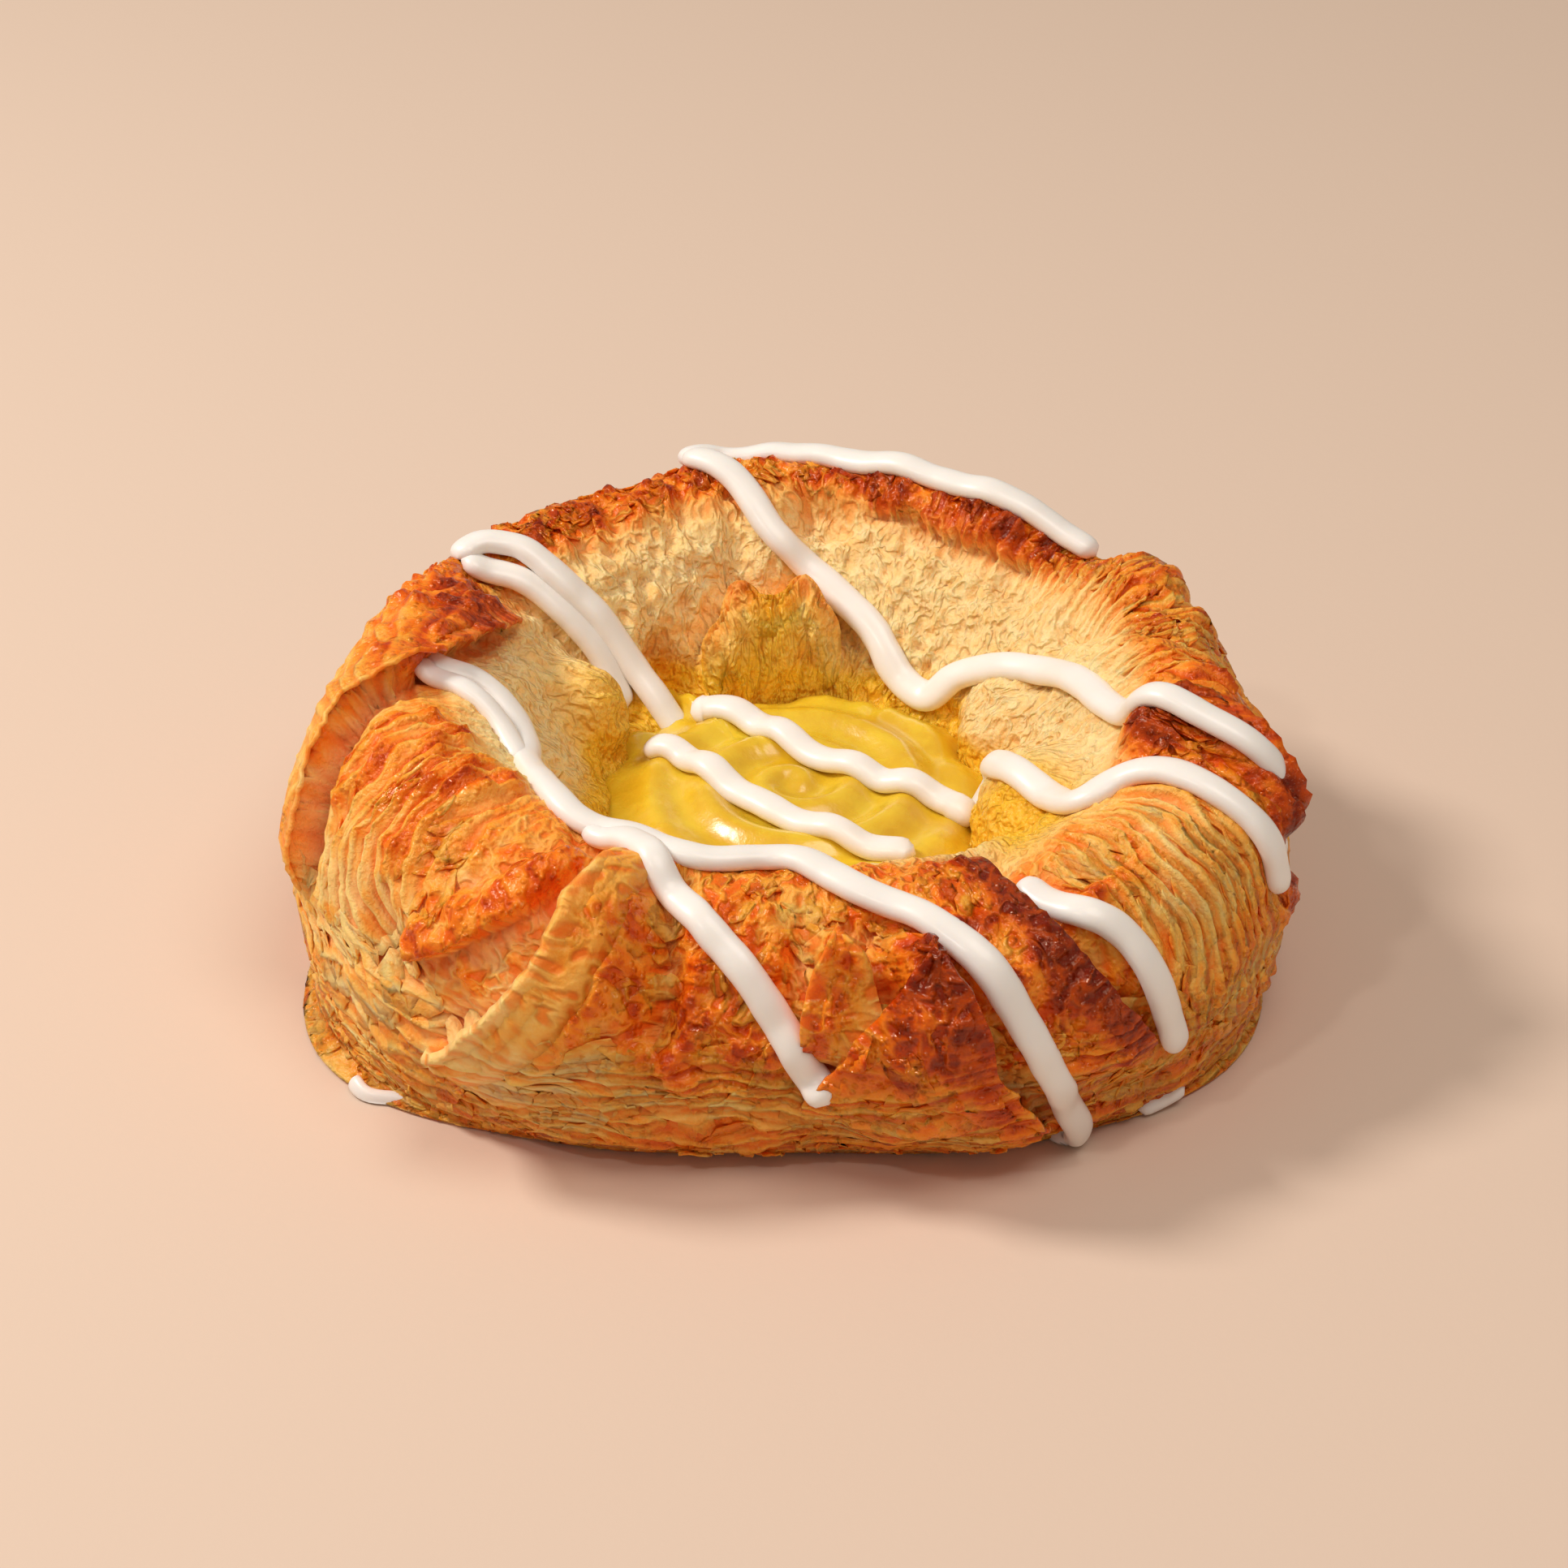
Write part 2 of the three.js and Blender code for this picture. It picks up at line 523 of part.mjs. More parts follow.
const joined = (solids) => wasm.Manifold.union(solids);
const makeDough = (swell) =>
  joined([makeBody(swell), ...makeFlaps(swell), ...makeFlakes(swell), ...makeDoughStrands(swell)]);

const dough = makeDough(0);
const custard = joined([makePlug(), ...makeCustardStrands()]).subtract(makeDough(custardGap));

function makeNode(name, solid, color, roughness) {
  const mesh = new THREE.Mesh(geometryOf(solid), new THREE.MeshStandardMaterial({ color, roughness, metalness: 0 }));
  mesh.name = name;
  return mesh;
}

const pastry = new THREE.Group();
pastry.position.set(wellOffset[0], wellOffset[1], 0);
pastry.add(makeNode('dough', dough, '#d98b3a', 0.5));
pastry.add(makeNode('custard', custard, '#ecc23a', 0.25));

export default pastry;
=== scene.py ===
"""A custard danish: a nest of flaky dough round a well of custard, with strands of white icing."""

import itertools
import math
import random

import bpy
import numpy as np
from bpy.props import FloatProperty, FloatVectorProperty, IntProperty, PointerProperty
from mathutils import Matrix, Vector


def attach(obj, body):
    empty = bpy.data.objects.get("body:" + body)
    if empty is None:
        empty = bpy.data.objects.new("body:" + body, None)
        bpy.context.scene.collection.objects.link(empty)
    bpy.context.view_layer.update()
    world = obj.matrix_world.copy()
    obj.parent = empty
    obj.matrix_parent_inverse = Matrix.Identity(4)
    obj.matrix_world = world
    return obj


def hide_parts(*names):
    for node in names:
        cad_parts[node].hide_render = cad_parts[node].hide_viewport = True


bl_info = {
    "name": "Custard danish",
    "version": (1, 0, 0),
    "blender": (4, 5, 0),
    "location": "3D View > Sidebar > Danish",
    "description": "Dresses the danish in flaky crust, custard and icing",
    "category": "Object",
}

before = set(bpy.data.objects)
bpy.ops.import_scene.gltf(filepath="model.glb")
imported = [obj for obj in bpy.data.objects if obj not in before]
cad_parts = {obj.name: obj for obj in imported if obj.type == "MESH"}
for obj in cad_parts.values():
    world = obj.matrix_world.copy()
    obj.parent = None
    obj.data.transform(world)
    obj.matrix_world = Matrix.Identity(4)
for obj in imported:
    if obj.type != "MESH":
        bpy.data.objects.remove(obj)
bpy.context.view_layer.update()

MM = 0.001

# ---- Sizes of the dough, in millimetres ----
# A ring holds one size every 30 degrees of heading, from +X and anticlockwise. A place on the dough is
# (heading, along): along is the distance over the surface from the crest of the rim, positive down the
# outside and negative down into the well.

OUTER = [53.5, 51.2, 49.8, 50, 49.1, 52.8, 54.4, 55, 53.5, 48.7, 52.8, 55.2]
FOOT = [48.5, 45.5, 44.5, 45, 44, 46.5, 50, 56, 46.5, 41.6, 46.5, 53]
CREST = [42, 43, 41, 43, 42, 43, 42.5, 41.5, 37, 34.5, 37.5, 43]
HEIGHT = [32.3, 31, 31.8, 33.2, 31.8, 32.5, 33.1, 31, 29.5, 28.5, 28.5, 29]
WELL = [18, 18.5, 18.5, 18.5, 18, 17.5, 17, 17.5, 18, 18.5, 18.5, 18]
FLOOR = 9.5
BEVEL = 1.0
WELL_MIDDLE = (0, 0.75)  # of the rings, from the frame's origin
ROUND = 0.75  # millimetres to a degree of heading, on the unrolled rim
SPREAD = ROUND * 180 / math.pi  # radius of the unrolled rim, in millimetres
PLY = 1.7  # from one layer to the next across the folds
SHEET = 2.1  # and down the wall

CUSTARD_TOP = 17.6
CUSTARD_EDGE = 14.6
CUSTARD_AROUND = 240  # vertices round the custard
CUSTARD_RINGS = 70, 20  # over it and under it
SWIRL_PITCH = 6.5
SWIRL_HEIGHT = 0.7
ICING_WIDTH = 3.51
ICING_HEIGHT = 2.6
ICING_LIFT = 0.28 * ICING_HEIGHT  # of a strand's middle over the crust
ICING_SIDES = 24  # vertices round a strand
LINE_STEP = 0.6  # between the vertices along a strand or a leaf

# Flaps, raised on the left of their paths: (name, path, lift, reach of the lift, dig on the other side, reach of
# the dig, overhang, raggedness, browning of the lip).
FLAPS = [
    ("left shell", [(152, -9), (168, -6), (183, -1.5), (190, 5), (194, 10), (197, 15), (200, 21)],
     2.6, 8, 2.4, 3.2, 0.9, 0.5, -0.1),
    ("front left roll", [(239, 1), (236.5, 4), (233.5, 8), (228, 12.5), (220, 17)], 1.2, 6, 1.8, 4, 0.6, 0.25, -0.08),
    ("curled sheet", [(227, 23.5), (232.5, 20.5), (237, 17), (240.5, 13.5), (242.5, 9), (242.5, 4), (241, 0)],
     3, 6, 2.2, 5, 1, 0.4, -0.2),
    ("small point, left side", [(270.6, 18), (271.4, 13.5), (273, 9.5), (275.4, 5)], 2, 3, 1, 2, 0.3, 0.5, -0.08),
    ("small point, right side", [(275.4, 5), (278, 9.5), (279, 14), (277.6, 19)], 2, 3, 1.4, 2, 0.3, 0.5, -0.08),
    ("point, left side", [(270, 25), (275, 19), (279.5, 14), (283.5, 10.5), (286.5, 6)], 2.4, 8, 1.4, 3, 0.5, 0.9, 0),
    ("point, right side", [(286.5, 6), (287, 10), (289, 15), (291, 20), (295, 25.5), (301, 31)],
     2.8, 6, 2.8, 3.4, 0.8, 0.8, 0.05),
    ("front right fold", [(297, -3), (299, 2), (300.5, 5.5), (302.5, 10), (305, 14), (308, 18), (313, 24)],
     2, 9, 1.6, 3, 0.6, 0.4, 0.3),
    ("right peak", [(350, -3), (346.5, 2), (342.5, 6), (340, 11), (338.5, 16), (337, 22)],
     2.6, 7, 3, 3, 0.8, 0.5, 0.1),
    ("back crust", [(42, -5), (55, -5.5), (66, -5.5), (79, -5)], 1.2, 6, 1.2, 5, 0.4, 1.2, 0.2),
    ("ear over the custard", [(117, -24), (114, -19.5), (109, -17.5), (104.5, -14.4), (100.5, -16.4), (95, -17),
     (91, -16.4), (87.5, -14.6), (84, -16.6), (80, -19), (77, -24)], 5.2, 7, 2.4, 3.4, 0.7, 0.7, 0.3),
]

# Valleys (negative) and ridges along a path: (name, path, height, width).
SEAMS = [
    ("valley beside the left fold", [(237, -5), (233, 0), (229, 4), (224.5, 8), (220, 13), (215, 20)], -3, 3.2),
    ("front left roll", [(237, 1), (230.5, 6), (226, 10), (219, 15)], 2.4, 5),
    ("lip of the curled sheet", [(229, 23), (234, 21), (239, 17), (242.6, 12), (243.8, 7), (242.8, 1)], 2.6, 1.6),
    ("pleat of the curled sheet", [(238, 23), (243.5, 18), (247.8, 11), (247.8, 3)], 2, 1.3),
    ("dent beside the curled sheet", [(249.5, 0), (251.5, 6), (253.5, 11), (254, 18)], -3, 2.2),
    ("small front point", [(275.4, 5), (275.2, 9), (274.6, 14), (274, 19)], 1.4, 1.6),
    ("second pleat of the front", [(258, 8), (257, 12), (256, 17), (257, 23)], 1.6, 1.5),
    ("dent left of the small point", [(271.5, 5), (269.5, 10), (268, 16)], -1.4, 1.8),
    ("dent right of the small point", [(281, 4), (281, 9), (278.5, 15)], -1.8, 1.8),
    ("step beside the right fold", [(302, 2), (305, 8), (308, 14), (312, 21)], -1.2, 0.9),
    ("front point ridge", [(286, 7), (284, 12), (284, 20), (286, 27)], 1.5, 3.5),
    ("saddle beside the right fold", [(303, -8), (307, 0), (309, 6)], -4.5, 6.5),
    ("right peak", [(346, -6), (342.5, 0), (339, 6), (337, 13)], 2.4, 3.8),
    ("right brown fold", [(14, -7), (2, -2.5), (354, 2), (347.5, 7), (344, 14)], 2.2, 4.2),
    ("slit beside the peak", [(342, -1), (338.5, 2.5), (336.8, 7), (336.8, 12), (338.5, 17)], -2.6, 1.2),
    ("valley over the brown fold", [(30, -11), (21, -7.5), (10.5, -3), (4, 3), (358, 10)], -2, 2.8),
    ("valley at the back right", [(43, -12), (41, -5), (38, 1), (36, 8)], -2.4, 3.5),
    ("back crest", [(78, -1.5), (66, -2), (56, -1.5), (46, -0.5)], 1.4, 4),
    ("valley under the twin strands", [(141, -25), (141.5, -18), (143, -12), (147, -5), (151, 1)], -3.4, 5),
]

# Lumps and hollows: (name, heading, along, half length round, half length over, height, steepness).
MOUNDS = [
    ("left fold", 206, 4, 15, 12, 2.8, 2),
    ("front right fold", 294, 10, 8, 13, 1.6, 2),
    ("right fold", 323, 9, 11, 12, 3.8, 2),
    ("back right fold", 27, 0, 7, 8, 1.6, 2),
    ("small front point", 274.5, 12, 3, 5, 0.8, 2),
    ("nook at the back", 85, -7.5, 5, 2.6, -3.2, 4),
    ("cave beside the ear", 123, -20.5, 4.2, 4, -6, 3),
    ("ear", 97, -21, 11, 6, 1.8, 4),
    ("lump at the left", 156, -19.5, 6.5, 5, 5.2, 4),
    ("hollow under the lump at the left", 147, -27, 4, 2.8, -3.2, 3),
    ("knob of the peak", 341, -3, 3.2, 2.8, 1.7, 3),
    ("bumps of the back right", 33, 4, 3, 3, 1.6, 2),
    ("bumps of the back right", 24, 3, 3, 2.5, 1.4, 2),
    ("bumps of the back right", 16, 5, 2.5, 3, 1.3, 2),
    ("lump at the back right", 26, -21, 8, 5.5, 3.6, 4),
    ("lump at the right", 343, -19.5, 10, 6.8, 4, 5),
]

# Strands of icing on the dough: (name, path, share of the full width).
STRANDS = [
    ("along_the_back", [(38, 1.5), (47, 0), (58.5, -1), (74, -1), (84, 0.5), (94, 2.5), (101, 3.5), (107, 1.5)], 1),
    ("back_to_right", [(106.5, 2), (100.5, -2.5), (93, -10), (81, -15), (70, -18), (60.5, -22), (49, -23),
     (43, -19.5), (30.5, -16), (17, -13), (353, -7.5), (345, -3.5), (342, 0.5), (341, 5), (341.5, 10),
     (343.5, 17)], 1),
    ("twin_left_side", [(148.7, 1.2), (143.7, -5), (140.2, -12), (138.2, -17), (139.5, -22.5)], 1),
    ("twin_right_side", [(149, 1.5), (145, 1.5), (141, -1.5), (138.5, -7), (135, -13.5), (132.5, -21), (131, -26),
     (128.5, -29.5), (125, -31.5)], 1),
    ("left", [(181, -2.7), (181.4, -7.5), (193, -12), (217, -7), (227, -5), (236, -5), (252, -1.5), (267, -3.2),
     (279, 2), (287, 5), (292, 9.2), (295.5, 15), (299, 22), (302.5, 28.5), (305.5, 34.5), (304, 38)], 1),
    ("left_return", [(182.2, -1.8), (186.5, -5.4), (194.5, -9), (204, -10)], 0.8),
    ("front", [(230.5, -4.5), (239.5, -2.9), (249, 1.7), (257.3, 5.5), (263.5, 9.6), (268, 14.4), (271.5, 20),
     (274, 22.5)], 1),
    ("right", [(349, -31), (351, -28.5), (354, -26), (356, -23.5), (354, -21.2), (348.5, -19.6), (334.5, -13.7),
     (326, -6.5), (331, -3.8), (333, 0), (332.6, 4.6), (332.8, 10), (333.2, 15)], 1),
    ("front_right", [(306, 1), (306.8, 6), (310.6, 9.7), (312.5, 15.5), (315, 24)], 1),
    ("at_the_left_foot", [(214, 36), (217, 36.6), (220.5, 37.3), (224, 37.8), (227, 38)], 0.6),
    ("at_the_right_foot", [(314, 35.5), (317, 34.5), (320, 33.5)], 0.55),
]

# Strands over the custard, as (x, y) from the middle of the well.
CUSTARD_STRANDS = [
    ("near", [(-16.6, 7.5), (-13, 5.5), (-9.8, 1.5), (-2.6, -6), (6.2, -12), (13, -14)], 1),
    ("far", [(-11.8, 15.2), (-9, 14.4), (-4.5, 11.5), (1.9, 4.8), (9, 0), (15.2, -2.5), (18.3, -4.3), (20, -4.9)], 1),
]

# Browned places of the crust, or paler ones, and two hollows darkened as painted shade: (heading, along, half length
# round, half length over, how dark).
BROWNED_AND_SHADED = [
    (158, -5, 8, 3.5, 1), (168, -5, 7, 3.5, 0.6), (185, -1, 6, 4, 0.25), (176, 10, 14, 8, -0.3), (188, 4, 6, 6, -0.2),
    (166, 4, 12, 7, 0.12),
    (209, 3, 6, 5, 0.12), (217, 6, 4, 4, 0.1), (208, 15, 11, 7, -0.7), (205, 28, 24, 8, -0.35), (236, 19, 7, 6, -0.6),
    # (150, -12) darkens the crumb under the left shell: painted shade.
    (237, 12, 4, 5, -0.45), (150, -12, 8, 5, 0.15),
    (230, 7, 4.5, 4, 0.2), (224, 3, 4, 4, -0.3), (246, 6, 2.5, 8, -0.35),
    (250, 10, 6, 5, 0.18), (262, 17, 7, 3.5, 0.42), (254, 14, 5, 4, 0.2), (268, 12, 4, 5, 0.15),
    (285, 10, 3.5, 5, 0.5), (287, 17, 4, 6, 0.42), (280, 20, 5, 5, 0.25),
    (296, 8, 6, 6, 0.3), (300, 14, 5, 8, 0.35), (308, 20, 5, 6, 0.22),
    (322, 7, 9, 9, -0.35), (322, 21, 14, 8, 0.25), (334, 15, 5, 6, 0.2), (300, 32, 60, 7, 0.1),
    (341, -2, 4, 3.5, 0.7), (337, 8, 2.5, 9, 0.7), (355, 4, 7, 3, 0.3), (347, 9, 3, 8, 0.4),
    (12, -2, 7, 3, 0.3), (27, 1, 6, 3, 0.12), (36, 0, 3.5, 5, 0.25), (30, -6, 9, 4, 0.15),
    (48, -2, 7, 3, 0.5), (62, -2.5, 9, 3.5, 0.6), (76, -1, 5, 3, 0.42), (62, 8, 20, 8, 0.25),
    (95, 0, 8, 3, 0.18), (116, 0, 9, 4, 0.22), (132, -1, 7, 3, 0.26), (122, 12, 25, 10, 0.2),
    # (122, -20) darkens the cave beside the ear: painted shade in the hollow.
    (96, -15.5, 8, 1.6, 0.7), (122, -20, 3.8, 3.4, 0.9),
]

# Places of the crumb that custard has soaked: (heading, along, half length round, half length over).
SOAKED = [
    (96, -21, 12, 5.5), (50, -27, 22, 4.5), (334, -20, 12, 7.5), (158, -22, 9, 7), (215, -23, 22, 5),
    (120, -26, 14, 5), (327, -13, 9, 5), (318, -8, 7, 6),
]

# Blisters and pits: (how many, headings, alongs, sizes, heights, browning).
BLISTER = (0.4, 1.3), (0.15, 0.55), 0.05
DOTS = [
    (70, (222, 236), (2, 16), *BLISTER),
    (90, (244, 268), (3, 19), *BLISTER),
    (50, (280, 292), (6, 22), *BLISTER),
    (110, (292, 312), (-2, 22), *BLISTER),
    (120, (338, 362), (-4, 12), *BLISTER),
    (110, (150, 182), (-9, 4), *BLISTER),
    (150, (40, 84), (-4, 6), *BLISTER),
    (120, (196, 218), (-4, 10), *BLISTER),
    (160, (95, 145), (-5, 5), *BLISTER),
    (260, (50, 165), (-26, -5), (0.5, 1.1), (-0.6, -0.2), 0),
    (90, (196, 240), (-24, -4), (0.4, 0.9), (-0.4, -0.15), 0),
    (160, (330, 410), (-27, -9), (0.4, 0.9), (-0.4, -0.15), 0),
]

# Thin leaves that carry a flap on past its edge: (flap, how far, how much it curls up, browning, thickness).
LEAVES = [
    ("left shell", 1.9, 0.5, 0, 0.45),
    ("curled sheet", 1.3, 0.7, -0.1, 1.1),
    ("small point, left side", 0.8, 0.2, -0.1, 0.45),
    ("small point, right side", 0.9, 0.4, -0.1, 0.45),
    ("point, left side", 1, 0.1, 0.05, 0.45),
    ("point, right side", 1.6, 0.3, 0.05, 0.45),
    ("front right fold", 1.3, -0.1, 0.15, 0.45),
    ("right peak", 1.5, 0.3, 0.05, 0.45),
    ("ear over the custard", 0.8, 0.4, 0.2, 0.45),
]

# Loose flakes: (piece, thickness, points across, points out, kinds), and a kind is (count, headings, alongs,
# width of its root, reach of its free edge, where the free edge points and how much that varies, lift, browning).
# A free edge points 90 degrees for down the outside, 0 for anticlockwise round the rim.
FLAKES = [
    ("flakes_of_the_lower_wall", 0.2, 7, 3, [
        (260, (185, 345), (17, 37), (3, 8), (1.6, 3.4), (90, 25), (0.05, 0.4), -0.02),
        (200, (185, 345), (17, 37), (3, 7), (1.4, 3), (-90, 30), (0.05, 0.35), -0.06),
        (380, (-15, 185), (16, 37), (3, 8), (1.6, 3.4), (90, 30), (0.05, 0.45), -0.02),
        (200, (-15, 185), (16, 37), (3, 6), (1.4, 3), (-90, 30), (0.05, 0.35), -0.06),
    ]),
    ("flakes_of_the_foot", 0.2, 7, 3, [
        (330, (0, 360), (32, 38), (1.2, 3.4), (0.8, 2), (90, 60), (0.1, 0.9), -0.05),
    ]),
    ("threads_of_the_folds", 0.22, 7, 3, [
        (26, (196, 224), (2, 20), (3, 6), (1, 2), (0, 40), (0, 0.18), 0.02),
        (60, (311, 337), (2, 26), (5, 10), (1, 2), (0, 14), (0, 0.25), 0),
        (60, (311, 337), (2, 26), (5, 10), (1, 2), (180, 14), (0, 0.25), 0),
        (60, (-20, 46), (-4, 20), (4, 8), (1, 2), (0, 25), (0, 0.3), 0),
        (60, (-20, 46), (-4, 20), (4, 8), (1, 2), (180, 25), (0, 0.3), 0),
    ]),
    ("flakes_of_the_crest", 0.2, 7, 3, [
        (150, (48, 152), (-4, 16), (1.8, 4.5), (1.2, 2.4), (-90, 60), (0.1, 0.6), 0.02),
        (150, (48, 152), (-4, 16), (1.8, 4.5), (1.2, 2.4), (90, 60), (0.1, 0.6), 0.02),
        (90, (8, 48), (-4, 12), (1.8, 4), (1.2, 2.4), (60, 60), (0.2, 0.9), 0.08),
        (40, (334, 350), (-6, 3), (1.4, 3), (1, 2), (120, 60), (0.2, 0.8), 0.1),
        (50, (243, 308), (1, 20), (2, 5), (1, 2.4), (60, 50), (0, 0.2), 0),
        (40, (243, 308), (1, 20), (2, 5), (1, 2.4), (-110, 50), (0, 0.2), 0),
        (40, (291, 300), (17, 29), (1.5, 3), (0.8, 1.8), (0, 40), (0.1, 0.7), -0.15),
    ]),
]


# ---- Curves and the plain rim ----

def catmull(before, start, end, after, share):
    """A point of the smooth curve through four points, between the middle two."""
    curve = 2 * before - 5 * start + 4 * end - after
    turn = 3 * (start - end) + after - before
    return start + 0.5 * share * (end - before + share * (curve + share * turn))


def curve(points, per_step):
    """A smooth line through points, with that many steps between two of them."""
    padded = np.vstack([points[:1], points, points[-1:]])
    line = [catmull(*padded[i:i + 4], k / per_step) for i in range(len(points) - 1) for k in range(per_step)]
    return np.array(line + [points[-1]])


def ring(values, heading):
    """A smooth closed curve through values that stand at equal steps of heading."""
    values = np.asarray(values, float)
    place = np.asarray(heading, float) % 360 / 360 * len(values)
    first = np.floor(place).astype(int)
    before, start, end, after = (values[(first + k) % len(values)] for k in (-1, 0, 1, 2))
    return catmull(before, start, end, after, place - first)


def smooth(value, low, high):
    """0 below low, 1 above high, and an even rise between them."""
    share = np.clip((value - low) / (high - low), 0, 1)
    return share * share * (3 - 2 * share)


def bell(ratio, power=2):
    """1 at no distance, falling to nothing past 1; a higher power gives steeper sides."""
    return np.exp(-np.abs(ratio) ** power)


def wrap(angle):
    """The angle between -180 and 180 degrees."""
    return (np.asarray(angle, float) + 180) % 360 - 180


def cloud(points, seed=0):
    """Smooth noise, from about -1 to 1, at points whose unit is one lump."""
    cell = np.floor(points).astype(np.int64)
    part = points - cell
    fade = part ** 3 * (part * (part * 6 - 15) + 10)
    total = np.zeros(points.shape[:-1])
    for corner in itertools.product((0, 1), repeat=3):
        at = cell + np.array(corner)
        # a scrambled number for each corner of the cell
        code = at[..., 0] * 374761393 + at[..., 1] * 668265263 + at[..., 2] * 1440662683 + seed * 974711
        code = (code ^ (code >> 13)) * 1274126177
        code = code ^ (code >> 16)
        weight = np.ones(total.shape)
        pull = np.zeros(total.shape)
        for axis in range(3):
            slope = ((code >> (8 * axis)) & 255) / 127.5 - 1
            pull += slope * (part[..., axis] - corner[axis])
            weight *= fade[..., axis] if corner[axis] else 1 - fade[..., axis]
        total += weight * pull
    return 1.3 * total


def clouds(points, octaves=3, seed=0):
    """Noise with finer and finer lumps."""
    return sum(cloud(points * 2.03 ** k, seed + k) * 0.55 ** k for k in range(octaves))


def unit(vectors):
    """Vectors scaled to a length of one."""
    return vectors / np.linalg.norm(vectors, axis=-1)[..., None]


def round_well(radius, heading, level):
    """Points at a radius and a heading round the middle of the well."""
    turn = np.radians(heading)
    x, y = radius * np.cos(turn) + WELL_MIDDLE[0], radius * np.sin(turn) + WELL_MIDDLE[1]
    return np.stack([x, y, level + 0 * x], -1)


def drift(travel, start):
    """Smooth noise along a line."""
    return cloud(np.stack([travel, 0 * travel, 0 * travel + start], -1))


def ridges(points, seed=0, sharp=3.2):
    """Rounded raised lines where smooth noise passes through zero, from 0 to 1."""
    return np.exp(-(sharp * cloud(points, seed)) ** 2)


def layered(phase, fall=0.3):
    """Layers that overlap like tiles: each rises slowly and ends in a step; the phase counts them."""
    share = phase - np.floor(phase)
    return smooth(np.minimum(share / (1 - fall), (1 - share) / fall), 0, 1)


def sections(heading):
    """The rim's section at each heading: its stations as (radius, height)."""
    outer, foot, crest, top, well = (ring(r, heading) for r in (OUTER, FOOT, CREST, HEIGHT, WELL))
    nought = 0 * outer

    def wall(share, rise):
        return well + share * (crest - well), FLOOR + rise * (top - FLOOR)

    stations = [
        (nought, FLOOR), (0.55 * well, FLOOR), (well, FLOOR + 1), wall(0.3, 0.42), wall(0.66, 0.86), (crest, top),
        (crest + 0.5 * (outer - crest), 0.9 * top), (outer - 1.6, 0.66 * top), (outer, 0.4 * top),
        (outer + 0.2 * (foot - outer), 0.17 * top), (outer + 0.62 * (foot - outer), BEVEL), (foot, 0),
        (0.5 * outer, 0), (nought, 0),
    ]
    return np.stack([np.stack([r + nought, z + nought], -1) for r, z in stations])


def station_places():
    """Distance of each station from the crest, which is station 5, on the mean section."""
    mean = sections(np.arange(12) * 30.0).mean(1)
    travel = np.concatenate([[0], np.cumsum(np.hypot(*np.diff(mean, axis=0).T))])
    return travel - travel[5]


ALONG = station_places()
LAST = len(ALONG) - 1
MIDDLE_AT, FLOOR_AT, WALL_AT, FOOT_AT, BASE_AT = (ALONG[k] for k in (0, 1, 2, 11, 12))


def rim(heading, along):
    """Radius and height of the plain rim, without its folds."""
    heading, along = np.broadcast_arrays(np.asarray(heading, float), np.asarray(along, float))
    stations = sections(heading)
    k = np.clip(np.searchsorted(ALONG, along, side="right") - 1, 0, LAST - 1)
    share = ((along - ALONG[k]) / (ALONG[k + 1] - ALONG[k]))[..., None]

    def at(j):
        pick = np.clip(j, 0, LAST)[None, ..., None].repeat(2, -1)
        return np.take_along_axis(stations, pick, 0)[0]

    place = catmull(at(k - 1), at(k), at(k + 1), at(k + 2), share)
    return place[..., 0], place[..., 1]


def unrolled(path):
    """A path of (heading, along) as a smooth line in millimetres, from its first heading."""
    return curve(np.array([(float(wrap(h - path[0][0])) * ROUND, a) for h, a in path]), 4)


def beside(path, heading, along):
    """Distance from a path, positive on its left, the left-hand direction there, and a fade at both ends."""
    line = unrolled(path)
    x = wrap(heading - path[0][0]) * ROUND
    best = np.full(x.shape, 1e9)
    side, run = np.ones(x.shape), np.zeros(x.shape)
    left = np.zeros(x.shape + (2,))
    for i in range(len(line) - 1):
        step = line[i + 1] - line[i]
        share = np.clip(((x - line[i, 0]) * step[0] + (along - line[i, 1]) * step[1]) / (step @ step), 0, 1)
        distance = np.hypot(x - line[i, 0] - share * step[0], along - line[i, 1] - share * step[1])
        near = distance < best
        best = np.where(near, distance, best)
        turn = np.where(step[0] * (along - line[i, 1]) - step[1] * (x - line[i, 0]) >= 0, 1, -1)
        side = np.where(near, turn, side)
        run = np.where(near, (i + share) / (len(line) - 1), run)
        left[near] = np.array([-step[1], step[0]]) / np.linalg.norm(step)
    return side * best, left, smooth(np.minimum(run, 1 - run), 0, 0.14)


# ---- The dough's surface: a grid of headings and places along, with its relief ----

def place(heading, along, lift):
    """A point over the plain rim, in millimetres from the frame's origin."""
    radius, level = rim(heading, along)
    r0, z0 = rim(heading, along - 0.5)
    r1, z1 = rim(heading, along + 0.5)
    length = np.hypot(r1 - r0, z1 - z0)
    r = np.maximum(radius - (z1 - z0) / length * np.minimum(radius, 1) * lift, 0)
    return round_well(r, heading, np.maximum(level + (r1 - r0) / length * lift, 0))


def blurred(field, times):
    """A field over the grid, smoothed with its neighbours."""
    for _ in range(times):
        field = (field + np.roll(field, 1, 1) + np.roll(field, -1, 1)) / 3
        field = np.concatenate([field[:1], (field[:-2] + field[1:-1] + field[2:]) / 3, field[-1:]])
    return field


